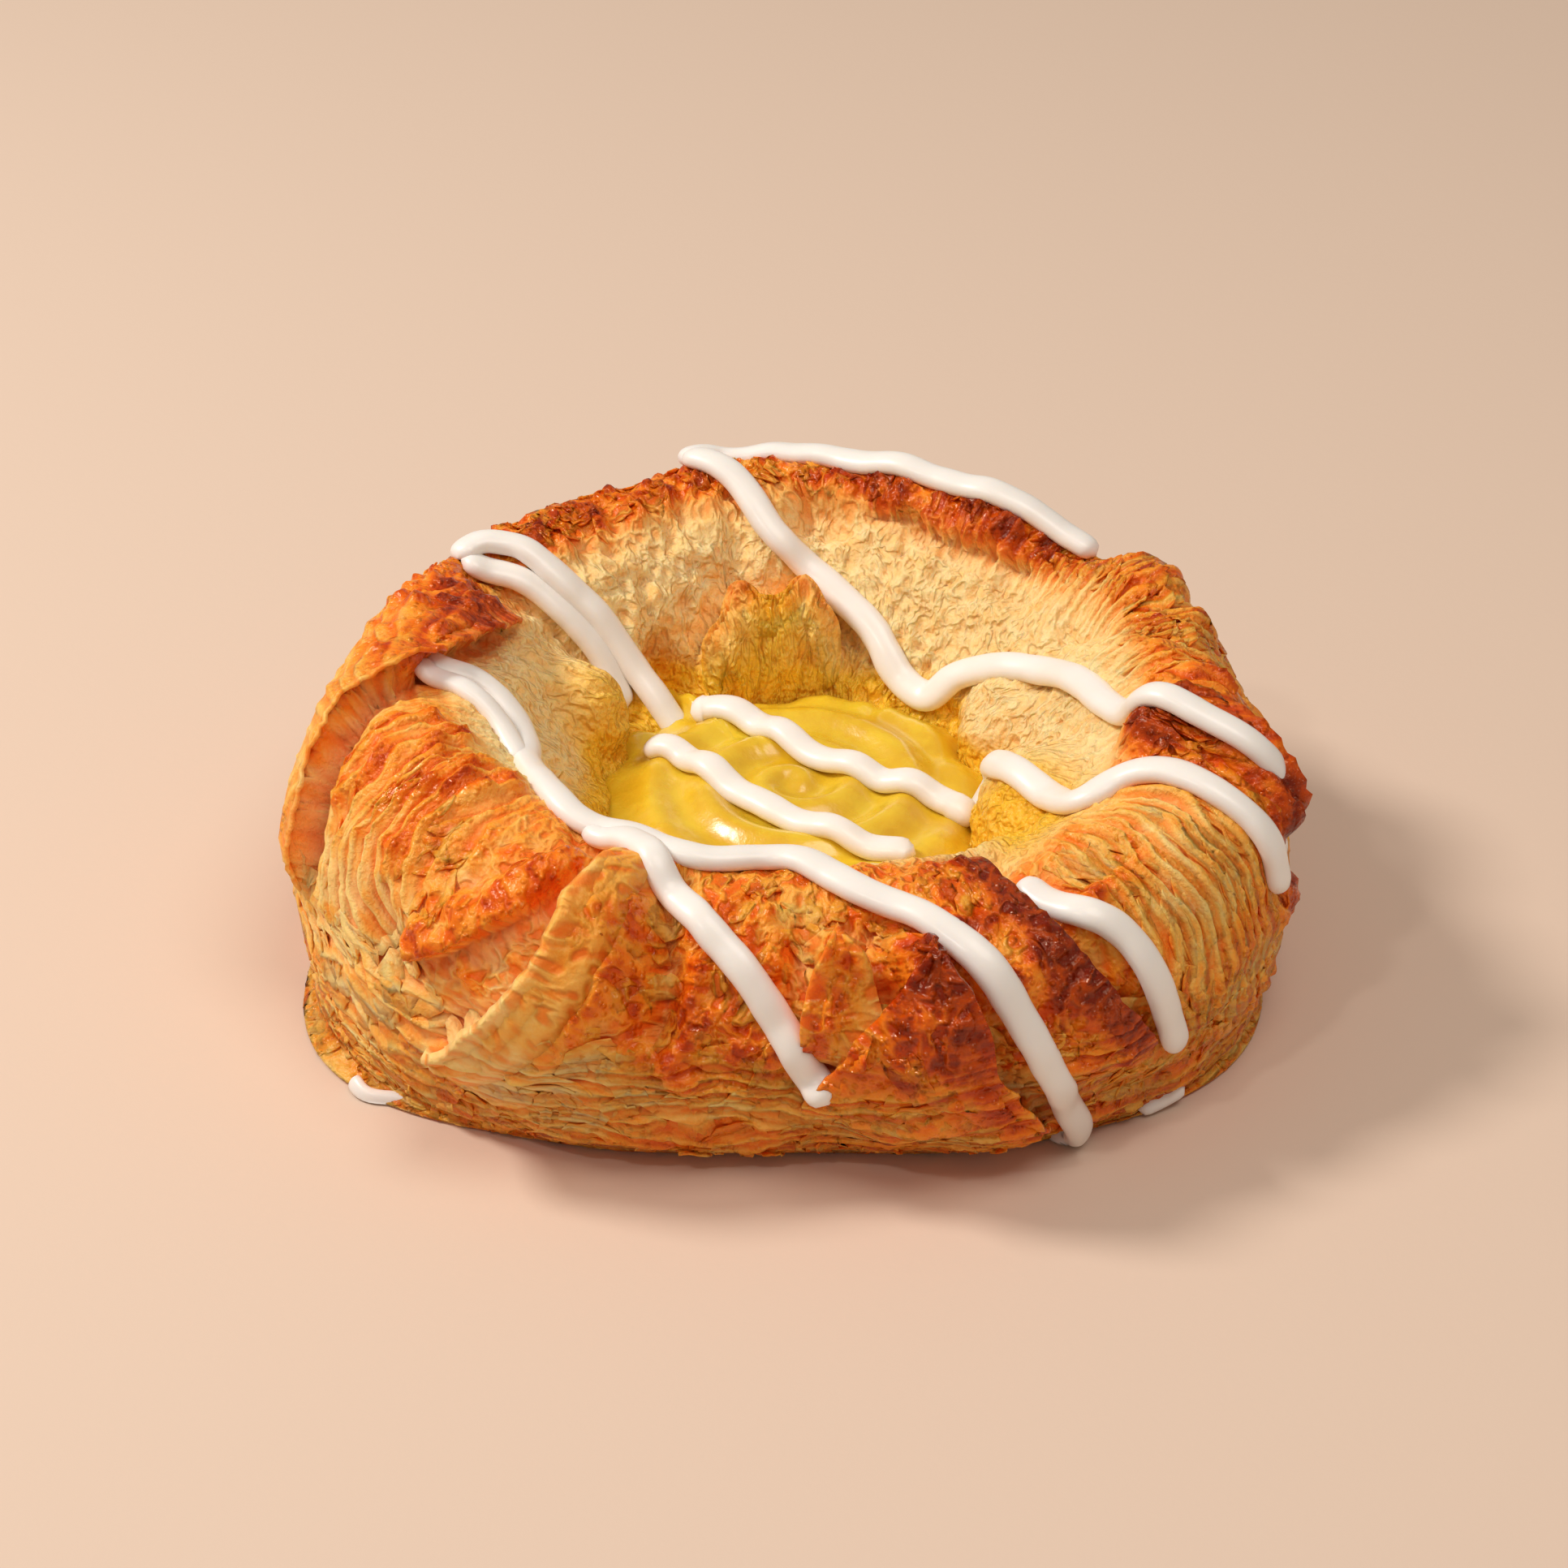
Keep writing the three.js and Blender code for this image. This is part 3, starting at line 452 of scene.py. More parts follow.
class Dough:
    """The dough's surface as arrays over (along, heading): its relief and how it is baked."""

    def __init__(self, columns, step, seed):
        self.random = np.random.default_rng(seed)
        self.heading = np.arange(columns) * 360.0 / columns
        fine = np.arange(WALL_AT - 1.5, FOOT_AT - 0.2, step)
        self.along = np.concatenate([
            [MIDDLE_AT + 3, MIDDLE_AT + 8, FLOOR_AT + 2, FLOOR_AT + 5],
            fine,
            [FOOT_AT, FOOT_AT + 2, FOOT_AT + 12, BASE_AT + 5],
        ])
        self.h, self.s = np.meshgrid(self.heading, self.along)
        radius, level = rim(self.h, self.s)
        turn = np.radians(self.h)
        round_rim = np.stack([SPREAD * np.cos(turn), SPREAD * np.sin(turn), self.s], -1)
        bend = np.stack([clouds(round_rim / 6.5, 3, seed + k) for k in (11, 21, 31)], -1)
        # where a point lies on the unrolled rim, and in space, both bent a little so that no line runs straight
        self.flow = round_rim + 1.3 * bend
        self.spot = np.stack([radius * np.cos(turn), radius * np.sin(turn), level], -1) + 1.2 * bend
        # 1 where relief is allowed: it fades out at the floor of the well and at the foot
        self.alive = smooth(self.s, FLOOR_AT, WALL_AT) * (1 - smooth(self.s, FOOT_AT - 5, FOOT_AT - 0.5))
        self.relief = np.zeros(self.h.shape)
        self.shift = np.zeros(self.h.shape + (2,))
        self.tone = np.zeros(self.h.shape)
        # how many layers lie before a point: across the folds, and down the wall
        fan = np.hypot(wrap(self.h - 230) * ROUND, 0.8 * (self.s - 1))
        around = np.where(np.abs(wrap(self.h - 216)) < 60, fan, wrap(self.h) * ROUND)
        self.ply = around / PLY + 1.5 * cloud(round_rim / 8, 61) + 0.45 * cloud(round_rim / 3.2, 62)
        self.sheet = self.s / SHEET + 1.6 * cloud(round_rim / (13, 13, 8), 63)
        self.sheet += 0.7 * cloud(round_rim / (5, 5, 3.4), 64)

    def near(self, path, margin):
        """Rows and columns of the grid within a margin, in millimetres, of a path."""
        alongs = [a for _, a in path]
        rows = np.nonzero((self.along > min(alongs) - margin) & (self.along < max(alongs) + margin))[0]
        turns = [float(wrap(h - path[0][0])) for h, _ in path]
        middle, half = (min(turns) + max(turns)) / 2, (max(turns) - min(turns)) / 2 + margin / ROUND
        columns = np.nonzero(np.abs(wrap(self.heading - path[0][0] - middle)) < half)[0]
        return np.ix_(rows, columns)

    def patch(self, heading, half, low, high, soft=4.0):
        """1 over a stretch of the rim and 0 away from it."""
        over = smooth(self.s, low - soft, low + soft) * (1 - smooth(self.s, high - soft, high + soft))
        return bell(wrap(self.h - heading) / half, 4) * over

    def away(self, heading, along, x, y):
        """How far each point lies from a place, as a share of the half lengths round and over."""
        return np.hypot(wrap(self.h - heading) * ROUND / x, (self.s - along) / y)

    def fold(self):
        """Raises the flaps, seams and mounds."""
        rag = clouds(self.flow / 2.4, 3, 71)
        for _, path, lift, reach, dig, groove, over, ragged, tone in FLAPS:
            cells = self.near(path, 2.2 * max(reach, groove))
            distance, left, fade = beside(path, self.h[cells], self.s[cells])
            distance += ragged * rag[cells]
            raised = smooth(distance, -0.35, 0.35)
            step = lift * bell(distance / reach) * raised - dig * bell(distance / groove) * (1 - raised)
            self.relief[cells] += fade * step
            push = fade * bell(distance / 1.2) * over * (1 - 2 * raised)
            self.shift[cells] += push[..., None] * left
            self.tone[cells] += fade * tone * bell((distance - 0.8) / 1.3)
        for _, path, height, width in SEAMS:
            cells = self.near(path, 2.6 * width)
            distance, _, fade = beside(path, self.h[cells], self.s[cells])
            self.relief[cells] += fade * height * bell(distance / width, 1.3 if height < 0 else 2)
        for _, heading, along, x, y, height, power in MOUNDS:
            self.relief += height * bell(self.away(heading, along, x, y), power)

    def weave(self):
        """Adds the strands, layers, plates and crumb, and keeps where each of them lies."""
        flow, spot = self.flow, self.spot
        inside = 1 - smooth(self.s, -10, -4)
        inside = inside * (1 - 0.75 * bell(self.away(97, -22, 15, 6), 4))  # the ear is smoother
        low = smooth(self.s, 15, 21)
        folds = self.patch(208, 17, -7, 22) + self.patch(323, 15, -3, 27) + self.patch(17, 38, -8, 20)
        self.strands = np.clip(folds, 0, 1)
        self.layers = np.clip(low + 0.8 * self.patch(172, 24, -6, 18), 0, 1) * (1 - 0.6 * self.strands)
        crest = self.patch(98, 56, -7, 15) + 0.5 * self.patch(236, 10, -4, 18)
        front = self.patch(272, 34, -6, 18)
        plain = np.clip(1 - self.strands - self.layers - front - crest - inside, 0, 1)

        def lines(points, size, seed):
            return ridges(points / np.array(size), seed) - 0.35

        def lumps(points, size, seed):
            return cloud(points / np.array(size), seed)

        uneven = (0.75 + 0.6 * cloud(flow / 4, 56)).clip(0.1)
        self.relief += 0.5 * clouds(spot / 8, 2, 1) + 0.8 * inside * clouds(spot / 6, 2, 54)
        self.relief += 1.05 * self.strands * uneven * (layered(self.ply) - 0.5)
        self.relief += 0.9 * self.layers * uneven * (layered(self.sheet, 0.24) - 0.5)
        for where, kind, points, height, size, seed in (
            (self.strands, lines, flow, 0.35, (1.5, 1.5, 4), 42),
            (self.strands, lumps, flow, 0.8, (4.5, 4.5, 8), 40),
            (self.layers, lines, flow, 0.4, (3.4, 3.4, 1.5), 44),
            (self.layers, lumps, flow, 1.0, (6, 6, 4), 45),
            (front, lines, flow, 0.7, (3.4, 3.4, 6), 46),
            (front, lines, flow, 0.45, (2, 2, 3), 47),
            (front, lumps, flow, 1.0, 5, 48),
            (crest, lines, spot, 0.85, 3.4, 49),
            (crest, lines, spot, 0.5, 1.8, 50),
            (crest, lumps, spot, 1.1, 4, 51),
            (inside, lines, spot, 0.45, (2.4, 2.4, 4), 52),
            (inside, lines, spot, 0.28, (1.3, 1.3, 2.2), 53),
            (plain, lines, spot, 0.35, 3, 55),
        ):
            self.relief += where * height * kind(points, size, seed)

    def dot(self, count, headings, alongs, size, height, tone):
        """Raises blisters, or sinks pits when the height is negative, over a stretch of the rim."""
        draw = self.random.uniform
        for _ in range(count):
            heading, along, width = draw(*headings) % 360, draw(*alongs), draw(*size)
            long = width * draw(1.0, 2.2)
            turn = draw(0, math.pi)
            cells = self.near([(heading, along)], long)
            millimetres = max(float(rim(heading, along)[0]), 8.0) * math.pi / 180
            x, y = wrap(self.h[cells] - heading) * millimetres, self.s[cells] - along
            a = (x * math.cos(turn) + y * math.sin(turn)) / long
            b = (y * math.cos(turn) - x * math.sin(turn)) / width
            shape = np.clip(1 - a * a - b * b, 0, 1) ** 0.7
            self.relief[cells] += draw(*height) * shape
            self.tone[cells] += tone * shape

    def finish(self):
        """Works out the surface's points and the way out of it, for the pieces that lie on it."""
        self.points = self.shaped(self.relief)
        calm = blurred(self.relief, 7)
        self.calm = self.shaped(calm)
        self.out = self.shaped(calm + 1, False) - self.shaped(calm, False)
        self.out /= np.linalg.norm(self.out, axis=-1)[..., None] + 1e-9

    def shaped(self, relief, shifted=True):
        """Points of the surface under a relief; shifted, the overhangs are pushed out and the foot stays put."""
        h, s = self.h, self.s
        if shifted:
            millimetres = rim(h, s)[0].clip(8) * math.pi / 180
            h = h + self.shift[..., 0] * self.alive / millimetres
            s = s + self.shift[..., 1] * self.alive
        return place(h, s, relief * self.alive if shifted else relief)

    def sample(self, grid, heading, along):
        """A field of the grid at any place."""
        heading, along = np.asarray(heading, float), np.asarray(along, float)
        row = np.interp(along, self.along, np.arange(len(self.along)))
        column = heading % 360 / (360.0 / len(self.heading))
        r0, c0 = np.floor(row).astype(int), np.floor(column).astype(int)
        u, v = row - r0, column - c0
        r1, c0, c1 = np.minimum(r0 + 1, len(self.along) - 1), c0 % len(self.heading), (c0 + 1) % len(self.heading)
        if grid.ndim == 3:
            u, v = u[..., None], v[..., None]
        return (grid[r0, c0] * (1 - v) + grid[r0, c1] * v) * (1 - u) + (grid[r1, c0] * (1 - v) + grid[r1, c1] * v) * u

    def over(self, heading, along, lift):
        """Points over the finished surface, in millimetres."""
        ground, out = self.sample(self.calm, heading, along), self.sample(self.out, heading, along)
        return ground + out * np.asarray(lift)[..., None]


def bake_dough(sizes):
    """The dough's surface with its relief, and how it is baked at each vertex, from 0 to 1, with painted shade added
    on the lower wall and in a few hollows.
    """
    d = Dough(sizes.columns, sizes.step, sizes.seed)
    d.fold()
    d.weave()
    for kind in DOTS:
        d.dot(*kind)
    d.finish()

    broad = np.clip((blurred(d.relief, 60) - d.relief) / 2.5, -1, 1)
    sunk = np.clip((blurred(d.relief, 12) - d.relief) / 0.9, -1, 1)
    inside = 1 - smooth(d.s, -9, -1.5)
    # the lower wall, from 20 mm down, is painted darker and more orange: painted shade where the wall turns down
    # towards the ground
    bake = 0.40 + 0.05 * bell((d.s - 3) / 13) + 0.12 * smooth(d.s, 20, 34) - 0.32 * inside
    patchy = (1 + 1.3 * cloud(d.spot / 3.2, 83)).clip(0.2)
    for heading, along, x, y, dark in BROWNED_AND_SHADED:
        bake += 0.5 * dark * bell(d.away(heading, along, x, y), 2.2) * patchy
    bake += 0.17 * clouds(d.spot / 6, 3, 81) * (1 - 0.6 * inside)
    bake += d.tone - 0.16 * sunk * (1 - inside) - 0.12 * broad
    crumb = inside - 0.5 * (bake - 0.35).clip(0)
    soak = (1 - smooth(d.points[..., 2], 15.5, 20 + 2.5 * cloud(d.spot / 5, 82))) * inside
    for heading, along, x, y in SOAKED:
        soak += 0.9 * inside * bell(d.away(heading, along, x, y), 3)
    # sunk goes on to the shader, which paints shade into the hollows with it
    sunk = sunk * (1 - 0.6 * inside)
    d.levels = {"bake": bake, "crumb": crumb, "soak": soak, "sunk": sunk, "strands": d.strands, "layers": d.layers}
    d.levels = {name: level.clip(0, 1) for name, level in d.levels.items()}
    return d


def loose_flakes(d, specs, columns, rows, rng):
    """Thin flakes over the surface: points [flake, row, column] in millimetres, and where each lies."""
    places, points, tones = [], [], []
    b = np.linspace(-1, 1, columns)[None, None, :]
    a = np.linspace(0, 1, rows)[None, :, None]
    for count, headings, alongs, width, reach, angle, lift, tone in specs:
        n = int(count)
        h0, s0 = rng.uniform(*headings, n) % 360, rng.uniform(*alongs, n)
        wide, far, up = rng.uniform(*width, n), rng.uniform(*reach, n), rng.uniform(*lift, n)
        turn = np.radians(rng.normal(*angle, n))
        shape = lambda v: v[:, None, None]
        extent = shape(far) * np.sqrt(1 - (0.93 * b) ** 2) * rng.uniform(0.45, 1.0, (n, 1, columns))
        x = b * shape(wide) / 2 + rng.normal(0, 0.02, (n, rows, columns)) * shape(wide)
        y = -0.25 * shape(far) + a * (extent + 0.25 * shape(far))
        x, y = x * np.sin(shape(turn)) + y * np.cos(shape(turn)), -x * np.cos(shape(turn)) + y * np.sin(shape(turn))
        millimetres = np.maximum(rim(h0, s0)[0], 8) * math.pi / 180
        h, s = shape(h0) + x / shape(millimetres), np.clip(shape(s0) + y, WALL_AT, FOOT_AT - 0.3)
        rise = -0.3 + (shape(up) + 0.3) * a ** 0.8 + rng.normal(0, 0.025, (n, rows, columns))
        points.append(d.over(h, s, rise * d.sample(d.alive, h, s)))
        places.append(np.stack([h, s], -1))
        tones.append(np.broadcast_to(shape(rng.normal(tone, 0.06, n)) + 0.03 * a, (n, rows, columns)))
    return np.concatenate(points), np.concatenate(places), np.concatenate(tones)


def leaf(d, flap, reach, curl, tone, rng):
    """A thin sheet that carries a flap on past its edge: points [place on the path, row], places and tones."""
    path = next(f[1] for f in FLAPS if f[0] == flap)
    line = unrolled(path)
    travel = np.concatenate([[0], np.cumsum(np.hypot(*np.diff(line, axis=0).T))])
    where = np.arange(0, travel[-1], LINE_STEP)
    line = np.stack([np.interp(where, travel, line[:, k]) for k in (0, 1)], -1)
    run = np.gradient(line, axis=0)
    left = unit(np.stack([-run[:, 1], run[:, 0]], -1))

    def at(offset):
        spot = line + left * offset
        return path[0][0] + spot[:, 0] / ROUND, spot[:, 1]

    share = where / where[-1]
    ends = np.sqrt(np.clip(1 - np.abs(2 * share - 1) ** 5, 0, 1))
    rough = drift(where / 2.6, rng.uniform(0, 90)) + 0.5 * drift(where / 0.9, rng.uniform(0, 90))
    near, far = at(1.3), at(3.6)
    base, root, out = d.over(*near, 0 * where), d.over(*far, 0 * where), d.sample(d.out, *near)
    onward = unit(base - root)
    length = 1.3 * ends + reach * ends * (1 + 0.35 * rough)
    rows = [d.over(*far, 0 * where - 0.35), d.over(*at(2.4), 0 * where + 0.02)]
    for k in (0.0, 0.35, 0.7, 1.0):
        rise = 0.12 * ends + (curl + 0.25 * rough + 0.2 * np.cos(3.7 * where + 2 * rough)) * ends * k * k
        rows.append(base + onward * (k * length)[:, None] + out * rise[:, None])
    places = [far, at(2.4), near, at(0.9), at(0.6), at(0.3)]
    tones = np.array([0, 0, 0, 0.3, 0.8, 1.2])[None, :] * tone + 0 * where[:, None]
    return np.stack(rows, 1), np.stack([np.stack(p, -1) for p in places], 1), tones


# ---- Mesh helpers ----

def deselect():
    if bpy.context.object and bpy.context.object.mode != "OBJECT":
        bpy.ops.object.mode_set(mode="OBJECT")
    bpy.ops.object.select_all(action="DESELECT")


def shaped_ball(name, around, rings, points):
    """A ball whose rings, from its top pole to its bottom one, are moved to points[ring, turn], in millimetres."""
    deselect()
    bpy.ops.mesh.primitive_uv_sphere_add(segments=around, ring_count=rings + 1, radius=1)
    ball = bpy.context.object
    ball.name = ball.data.name = name
    mesh = ball.data
    co = np.empty(len(mesh.vertices) * 3, np.float32)
    mesh.vertices.foreach_get("co", co)
    co = co.reshape(-1, 3).astype(float)
    level = np.rint(np.arccos(co[:, 2].clip(-1, 1)) / math.pi * (rings + 1)).astype(int)
    turn = np.rint(np.degrees(np.arctan2(co[:, 1], co[:, 0])) % 360 / 360 * around).astype(int) % around
    pick = (level - 1).clip(0, rings - 1), turn

    def spread(grid):
        """The grid's value at each vertex; a pole takes the mean of the ring beside it."""
        values = grid[pick]
        values[level == 0], values[level == rings + 1] = grid[0].mean(0), grid[-1].mean(0)
        return values

    mesh.vertices.foreach_set("co", (spread(points) * MM).astype(np.float32).ravel())
    mesh.update()
    bpy.ops.object.shade_smooth()
    return ball, spread


def paint(piece, name, values):
    """Keeps a number or a vector for each vertex."""
    kind, key = ("FLOAT", "value") if values.ndim == 1 else ("FLOAT_VECTOR", "vector")
    attribute = piece.data.attributes.new(name, kind, "POINT")
    attribute.data.foreach_set(key, values.astype(np.float32).ravel())


def dressed(piece, material, slot, *nodes):
    piece.data.materials.clear()
    piece.data.materials.append(material)
    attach(piece, "root")
    if nodes:
        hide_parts(*nodes)


# ---- Shader helpers ----

class Value:
    """A socket that holds a number, with arithmetic."""

    def __init__(self, shader, socket):
        self.shader, self.socket = shader, socket

    def _math(self, operation, *values):
        return Value(self.shader, self.shader.node("ShaderNodeMath", {"operation": operation}, *values).outputs[0])

    def __add__(self, other):
        return self._math("ADD", self, other)

    def __sub__(self, other):
        return self._math("SUBTRACT", self, other)

    def __mul__(self, other):
        return self._math("MULTIPLY", self, other)

    def __rsub__(self, other):
        return self._math("SUBTRACT", other, self)

    __radd__, __rmul__ = __add__, __mul__

    def size(self):
        return self._math("ABSOLUTE", self)

    def held(self):
        """Kept between 0 and 1."""
        return self._math("MINIMUM", self._math("MAXIMUM", self, 0.0), 1.0)

    def layered(self, fall):
        """Layers that overlap like tiles: each rises slowly and ends in a step."""
        share = self._math("FRACT", self)
        return self._math("MINIMUM", share * (1 / (1 - fall)), (1 - share) * (1 / fall)).over(0.0, 1.0)

    def over(self, low, high):
        """0 below low, 1 above high, and an even rise between them."""
        rise = {"interpolation_type": "SMOOTHSTEP", "clamp": True}
        return Value(self.shader, self.shader.node("ShaderNodeMapRange", rise, self, low, high, 0.0, 1.0).outputs[0])


class Finish:
    """A material with a Principled shader, and its nodes."""

    def __init__(self, name):
        self.material = bpy.data.materials.new(name)
        self.material.use_nodes = True
        self.tree = self.material.node_tree
        self.shader = self.tree.nodes["Principled BSDF"]
        self.place = self.node("ShaderNodeTexCoord", {}).outputs["Object"]

    def node(self, kind, settings, *values, **named):
        node = self.tree.nodes.new(kind)
        for key, value in settings.items():
            if key == "stops":
                ramp = node.color_ramp
                while len(ramp.elements) < len(value):
                    ramp.elements.new(0.5)
                for element, (at, colour) in zip(ramp.elements, value):
                    element.position, element.color = at, (*colour, 1)
            else:
                setattr(node, key, value)
        pairs = list(zip(node.inputs, values)) + [(node.inputs[key], value) for key, value in named.items()]
        for socket, value in pairs:
            self.feed(socket, value)
        return node

    def feed(self, socket, value):
        if isinstance(value, Value):
            value = value.socket
        if isinstance(value, bpy.types.NodeSocket):
            self.tree.links.new(value, socket)
        elif value is not None:
            if hasattr(socket.default_value, "__len__") and len(socket.default_value) == 4 and len(value) == 3:
                value = (*value, 1)
            socket.default_value = value

    def set(self, **values):
        for key, value in values.items():
            self.feed(self.shader.inputs[key.replace("_", " ")], value)

    def attribute(self, name):
        return Value(self, self.node("ShaderNodeAttribute", {"attribute_name": name}).outputs["Fac"])

    def noise(self, size, detail=3.0, roughness=0.55, where=None):
        """Cloudy noise from 0 to 1 with lumps of that size in millimetres, or laid out along a vector."""
        scale = 1.0 if where else 1 / (size * MM)
        node = self.node(
            "ShaderNodeTexNoise", {}, Vector=where or self.place, Scale=scale, Detail=detail, Roughness=roughness)
        return Value(self, node.outputs["Fac"])

    def cells(self, size):
        node = self.node("ShaderNodeTexVoronoi", {}, Vector=self.place, Scale=1 / (size * MM))
        return Value(self, node.outputs["Distance"])

    def mix(self, share, first, second, blend="MIX"):
        node = self.tree.nodes.new("ShaderNodeMix")
        node.data_type, node.blend_type = "RGBA", blend
        for socket, value in ((node.inputs[0], share), (node.inputs[6], first), (node.inputs[7], second)):
            self.feed(socket, value)
        return node.outputs[2]

    def ramp(self, value, stops):
        return self.node("ShaderNodeValToRGB", {"stops": stops}, value).outputs["Color"]

    def bump(self, height, strength, distance):
        node = self.node("ShaderNodeBump", {}, Strength=strength, Distance=distance * MM, Height=height)
        self.set(Normal=node.outputs["Normal"])


def colour(*rgb):
    """An sRGB colour of 0 to 255 as the linear one that shaders use."""
    return tuple(c / 12.92 if c <= 0.04045 else ((c + 0.055) / 1.055) ** 2.4 for c in (v / 255 for v in rgb))


# From raw dough to the darkest crust: (how baked, colour).
BAKING = [
    (0.0, colour(255, 210, 132)), (0.2, colour(255, 186, 88)), (0.4, colour(254, 158, 48)),
    (0.58, colour(244, 126, 24)), (0.78, colour(204, 78, 8)), (1.0, colour(128, 34, 3)),
]
CRUMB, CRUMB_GOLDEN = colour(255, 234, 184), colour(255, 212, 134)
SOAKED_CRUMB = colour(255, 190, 12)
# Painted shade for the hollows of the crust, and those of the crumb: wide ones, and those between fine layers and in
# the pores.
WIDE_PAINTED_SHADE = colour(228, 116, 34), colour(255, 186, 84)
FINE_PAINTED_SHADE = colour(244, 140, 58), colour(255, 200, 110)


def dough_finish():
    f = Finish("baked_dough")
    names = ("bake", "crumb", "soak", "sunk", "strands", "layers", "ply", "sheet")
    bake, crumb, soak, sunk, strands, layers, ply, sheet = (f.attribute(name) for name in names)
    flow = f.node("ShaderNodeAttribute", {"attribute_name": "flow"}).outputs["Vector"]
    mottle = f.noise(2.6, 4, 0.6)
    grain = f.noise(0.55, 3, 0.6)

    # rounded lines where a noise passes through its middle, away from the layers
    web = f.node("ShaderNodeVectorMath", {"operation": "MULTIPLY"}, flow, (1 / 1.7, 1 / 1.7, 1 / 1.7)).outputs[0]
    web = 1 - ((f.noise(None, 1.5, 0.5, web) - 0.5).size() * 6.0).over(0.0, 1.0)
    web = web * (1 - strands - layers).held()
    weave = (ply.layered(0.3) * 0.7 + (ply * 2.3 + grain).layered(0.4) * 0.3) * strands
    weave = weave + (sheet.layered(0.2) * 0.7 + (sheet * 2.1 + mottle * 2).layered(0.4) * 0.3) * layers
    # crests of the layers and the web lines are painted paler and the foot of each step darker: partly the pale thin
    # edges of the dough, partly painted light and shade on the relief
    level = (bake + (mottle - 0.5) * 0.36 + (grain - 0.5) * 0.18 + 0.07 - weave * 0.34 - web * 0.16).held()
    weave = weave + web
    pores = f.cells(1.3).over(0.1, 0.6)
    bubbles = 1 - f.cells(0.9).over(0.0, 0.5)
    # deep is painted shade: in the creases between the fine layers of the crust and in the pores of the crumb
    deep = (1 - weave * 1.4).held() * (1 - crumb) * 0.45 + (1 - pores) * crumb * (1 - soak) * 0.3
    gloss = ((1 - crumb) * bake.over(0.25, 0.65) + soak * 0.7).held()

    pale = f.mix(mottle, CRUMB, CRUMB_GOLDEN)
    base = f.mix((crumb * (1 - level * 1.3).held() * 0.85).held(), f.ramp(level, BAKING), pale)
    base = f.mix((soak * 0.9).held(), base, SOAKED_CRUMB)
    # painted shade: the wide hollows, and then the fine creases and pores, are multiplied darker
    base = f.mix((sunk * 0.55).held(), base, f.mix(crumb, *WIDE_PAINTED_SHADE), "MULTIPLY")
    base = f.mix(deep.held(), base, f.mix(crumb, *FINE_PAINTED_SHADE), "MULTIPLY")
    f.set(Base_Color=base, Roughness=0.52 - gloss * 0.34 + (grain - 0.5) * 0.15, Subsurface_Weight=0.4,
          Subsurface_Radius=(1.0, 0.6, 0.3), Subsurface_Scale=0.0014, Specular_IOR_Level=0.4,
          Specular_Tint=(1.0, 0.82, 0.62))
    height = weave + grain * (0.35 + crumb * 0.4) + pores * crumb * 0.25 + bubbles * gloss * 0.9 + mottle * 0.7
    f.bump(height, 0.9, 0.4)
    return f.material


def custard_finish():
    f = Finish("set_custard")
    cloud = f.noise(5, 3).over(0.35, 0.65)
    f.set(Base_Color=f.mix(cloud, colour(234, 197, 50), colour(222, 176, 28)), Roughness=0.22 + cloud * 0.1,
          Subsurface_Weight=0.35, Subsurface_Radius=(1.0, 0.7, 0.15), Subsurface_Scale=0.003,
          Coat_Weight=0.5, Coat_Roughness=0.14)
    f.bump(f.noise(1.6, 3) * 0.6 + f.noise(0.5, 2) * 0.25, 0.4, 0.35)
    return f.material


def icing_finish():
    f = Finish("sugar_icing")
    cloud = f.noise(4, 2)
    f.set(Base_Color=f.mix(cloud, colour(250, 244, 238), colour(242, 236, 229)), Roughness=0.34 + cloud * 0.1,
          Subsurface_Weight=0.25, Subsurface_Radius=(1.0, 0.8, 0.6), Subsurface_Scale=0.002,
          Coat_Weight=0.25, Coat_Roughness=0.2)
    f.bump(f.noise(1.8, 2), 0.12, 0.3)
    return f.material


# ---- Properties ----

class DoughSizes(bpy.types.PropertyGroup):
    columns: IntProperty(name="Columns", description="Vertices round the rim", default=660, min=60)
    step: FloatProperty(name="Step", description="Millimetres between rows of vertices", default=0.5)
    flakes: FloatProperty(name="Flakes", description="How many flakes, as a share of the usual", default=1.0)
    seed: IntProperty(name="Seed", description="Start of the random draws", default=7)


class IcingSizes(bpy.types.PropertyGroup):
    width: FloatProperty(name="Width", description="Width of a strand", default=ICING_WIDTH * MM, unit="LENGTH")
    height: FloatProperty(
        name="Height", description="Thickness of a strand", default=ICING_HEIGHT * MM, unit="LENGTH")


class StageSizes(bpy.types.PropertyGroup):
    floor: FloatVectorProperty(
        name="Floor", description="Colour of the ground", subtype="COLOR", default=colour(223, 199, 180))
    key: FloatProperty(name="Key light", description="Power of the key light", default=3.7, unit="POWER")
    fill: FloatProperty(name="Fill light", description="Power of the fill light", default=2.1, unit="POWER")
    sparkle: FloatProperty(name="Sparkle", description="Power of the small front light", default=0.4, unit="POWER")
    sky: FloatProperty(name="Sky", description="Strength of the light all round", default=0.29)


# ---- Operators ----

MADE = {}


def surface():
    """The dough's surface, worked out once."""
    if "dough" not in MADE:
        MADE["dough"] = bake_dough(bpy.context.scene.danish_dough)
    return MADE["dough"]


class DANISH_OT_dough(bpy.types.Operator):
    """Bake the flaky dough"""

    bl_idname = "danish.dough"
    bl_label = "Dough"

    def execute(self, context):
        d = surface()
        piece, spread = shaped_ball("crust", len(d.heading), len(d.along), d.points)
        for name, grid in d.levels.items():
            paint(piece, name, spread(grid))
        for name in ("flow", "ply", "sheet"):
            paint(piece, name, spread(getattr(d, name)))
        dressed(piece, dough_material(), "dough", "dough")
        return {"FINISHED"}


def dough_material():
    if "baked_dough" not in bpy.data.materials:
        dough_finish()
    return bpy.data.materials["baked_dough"]


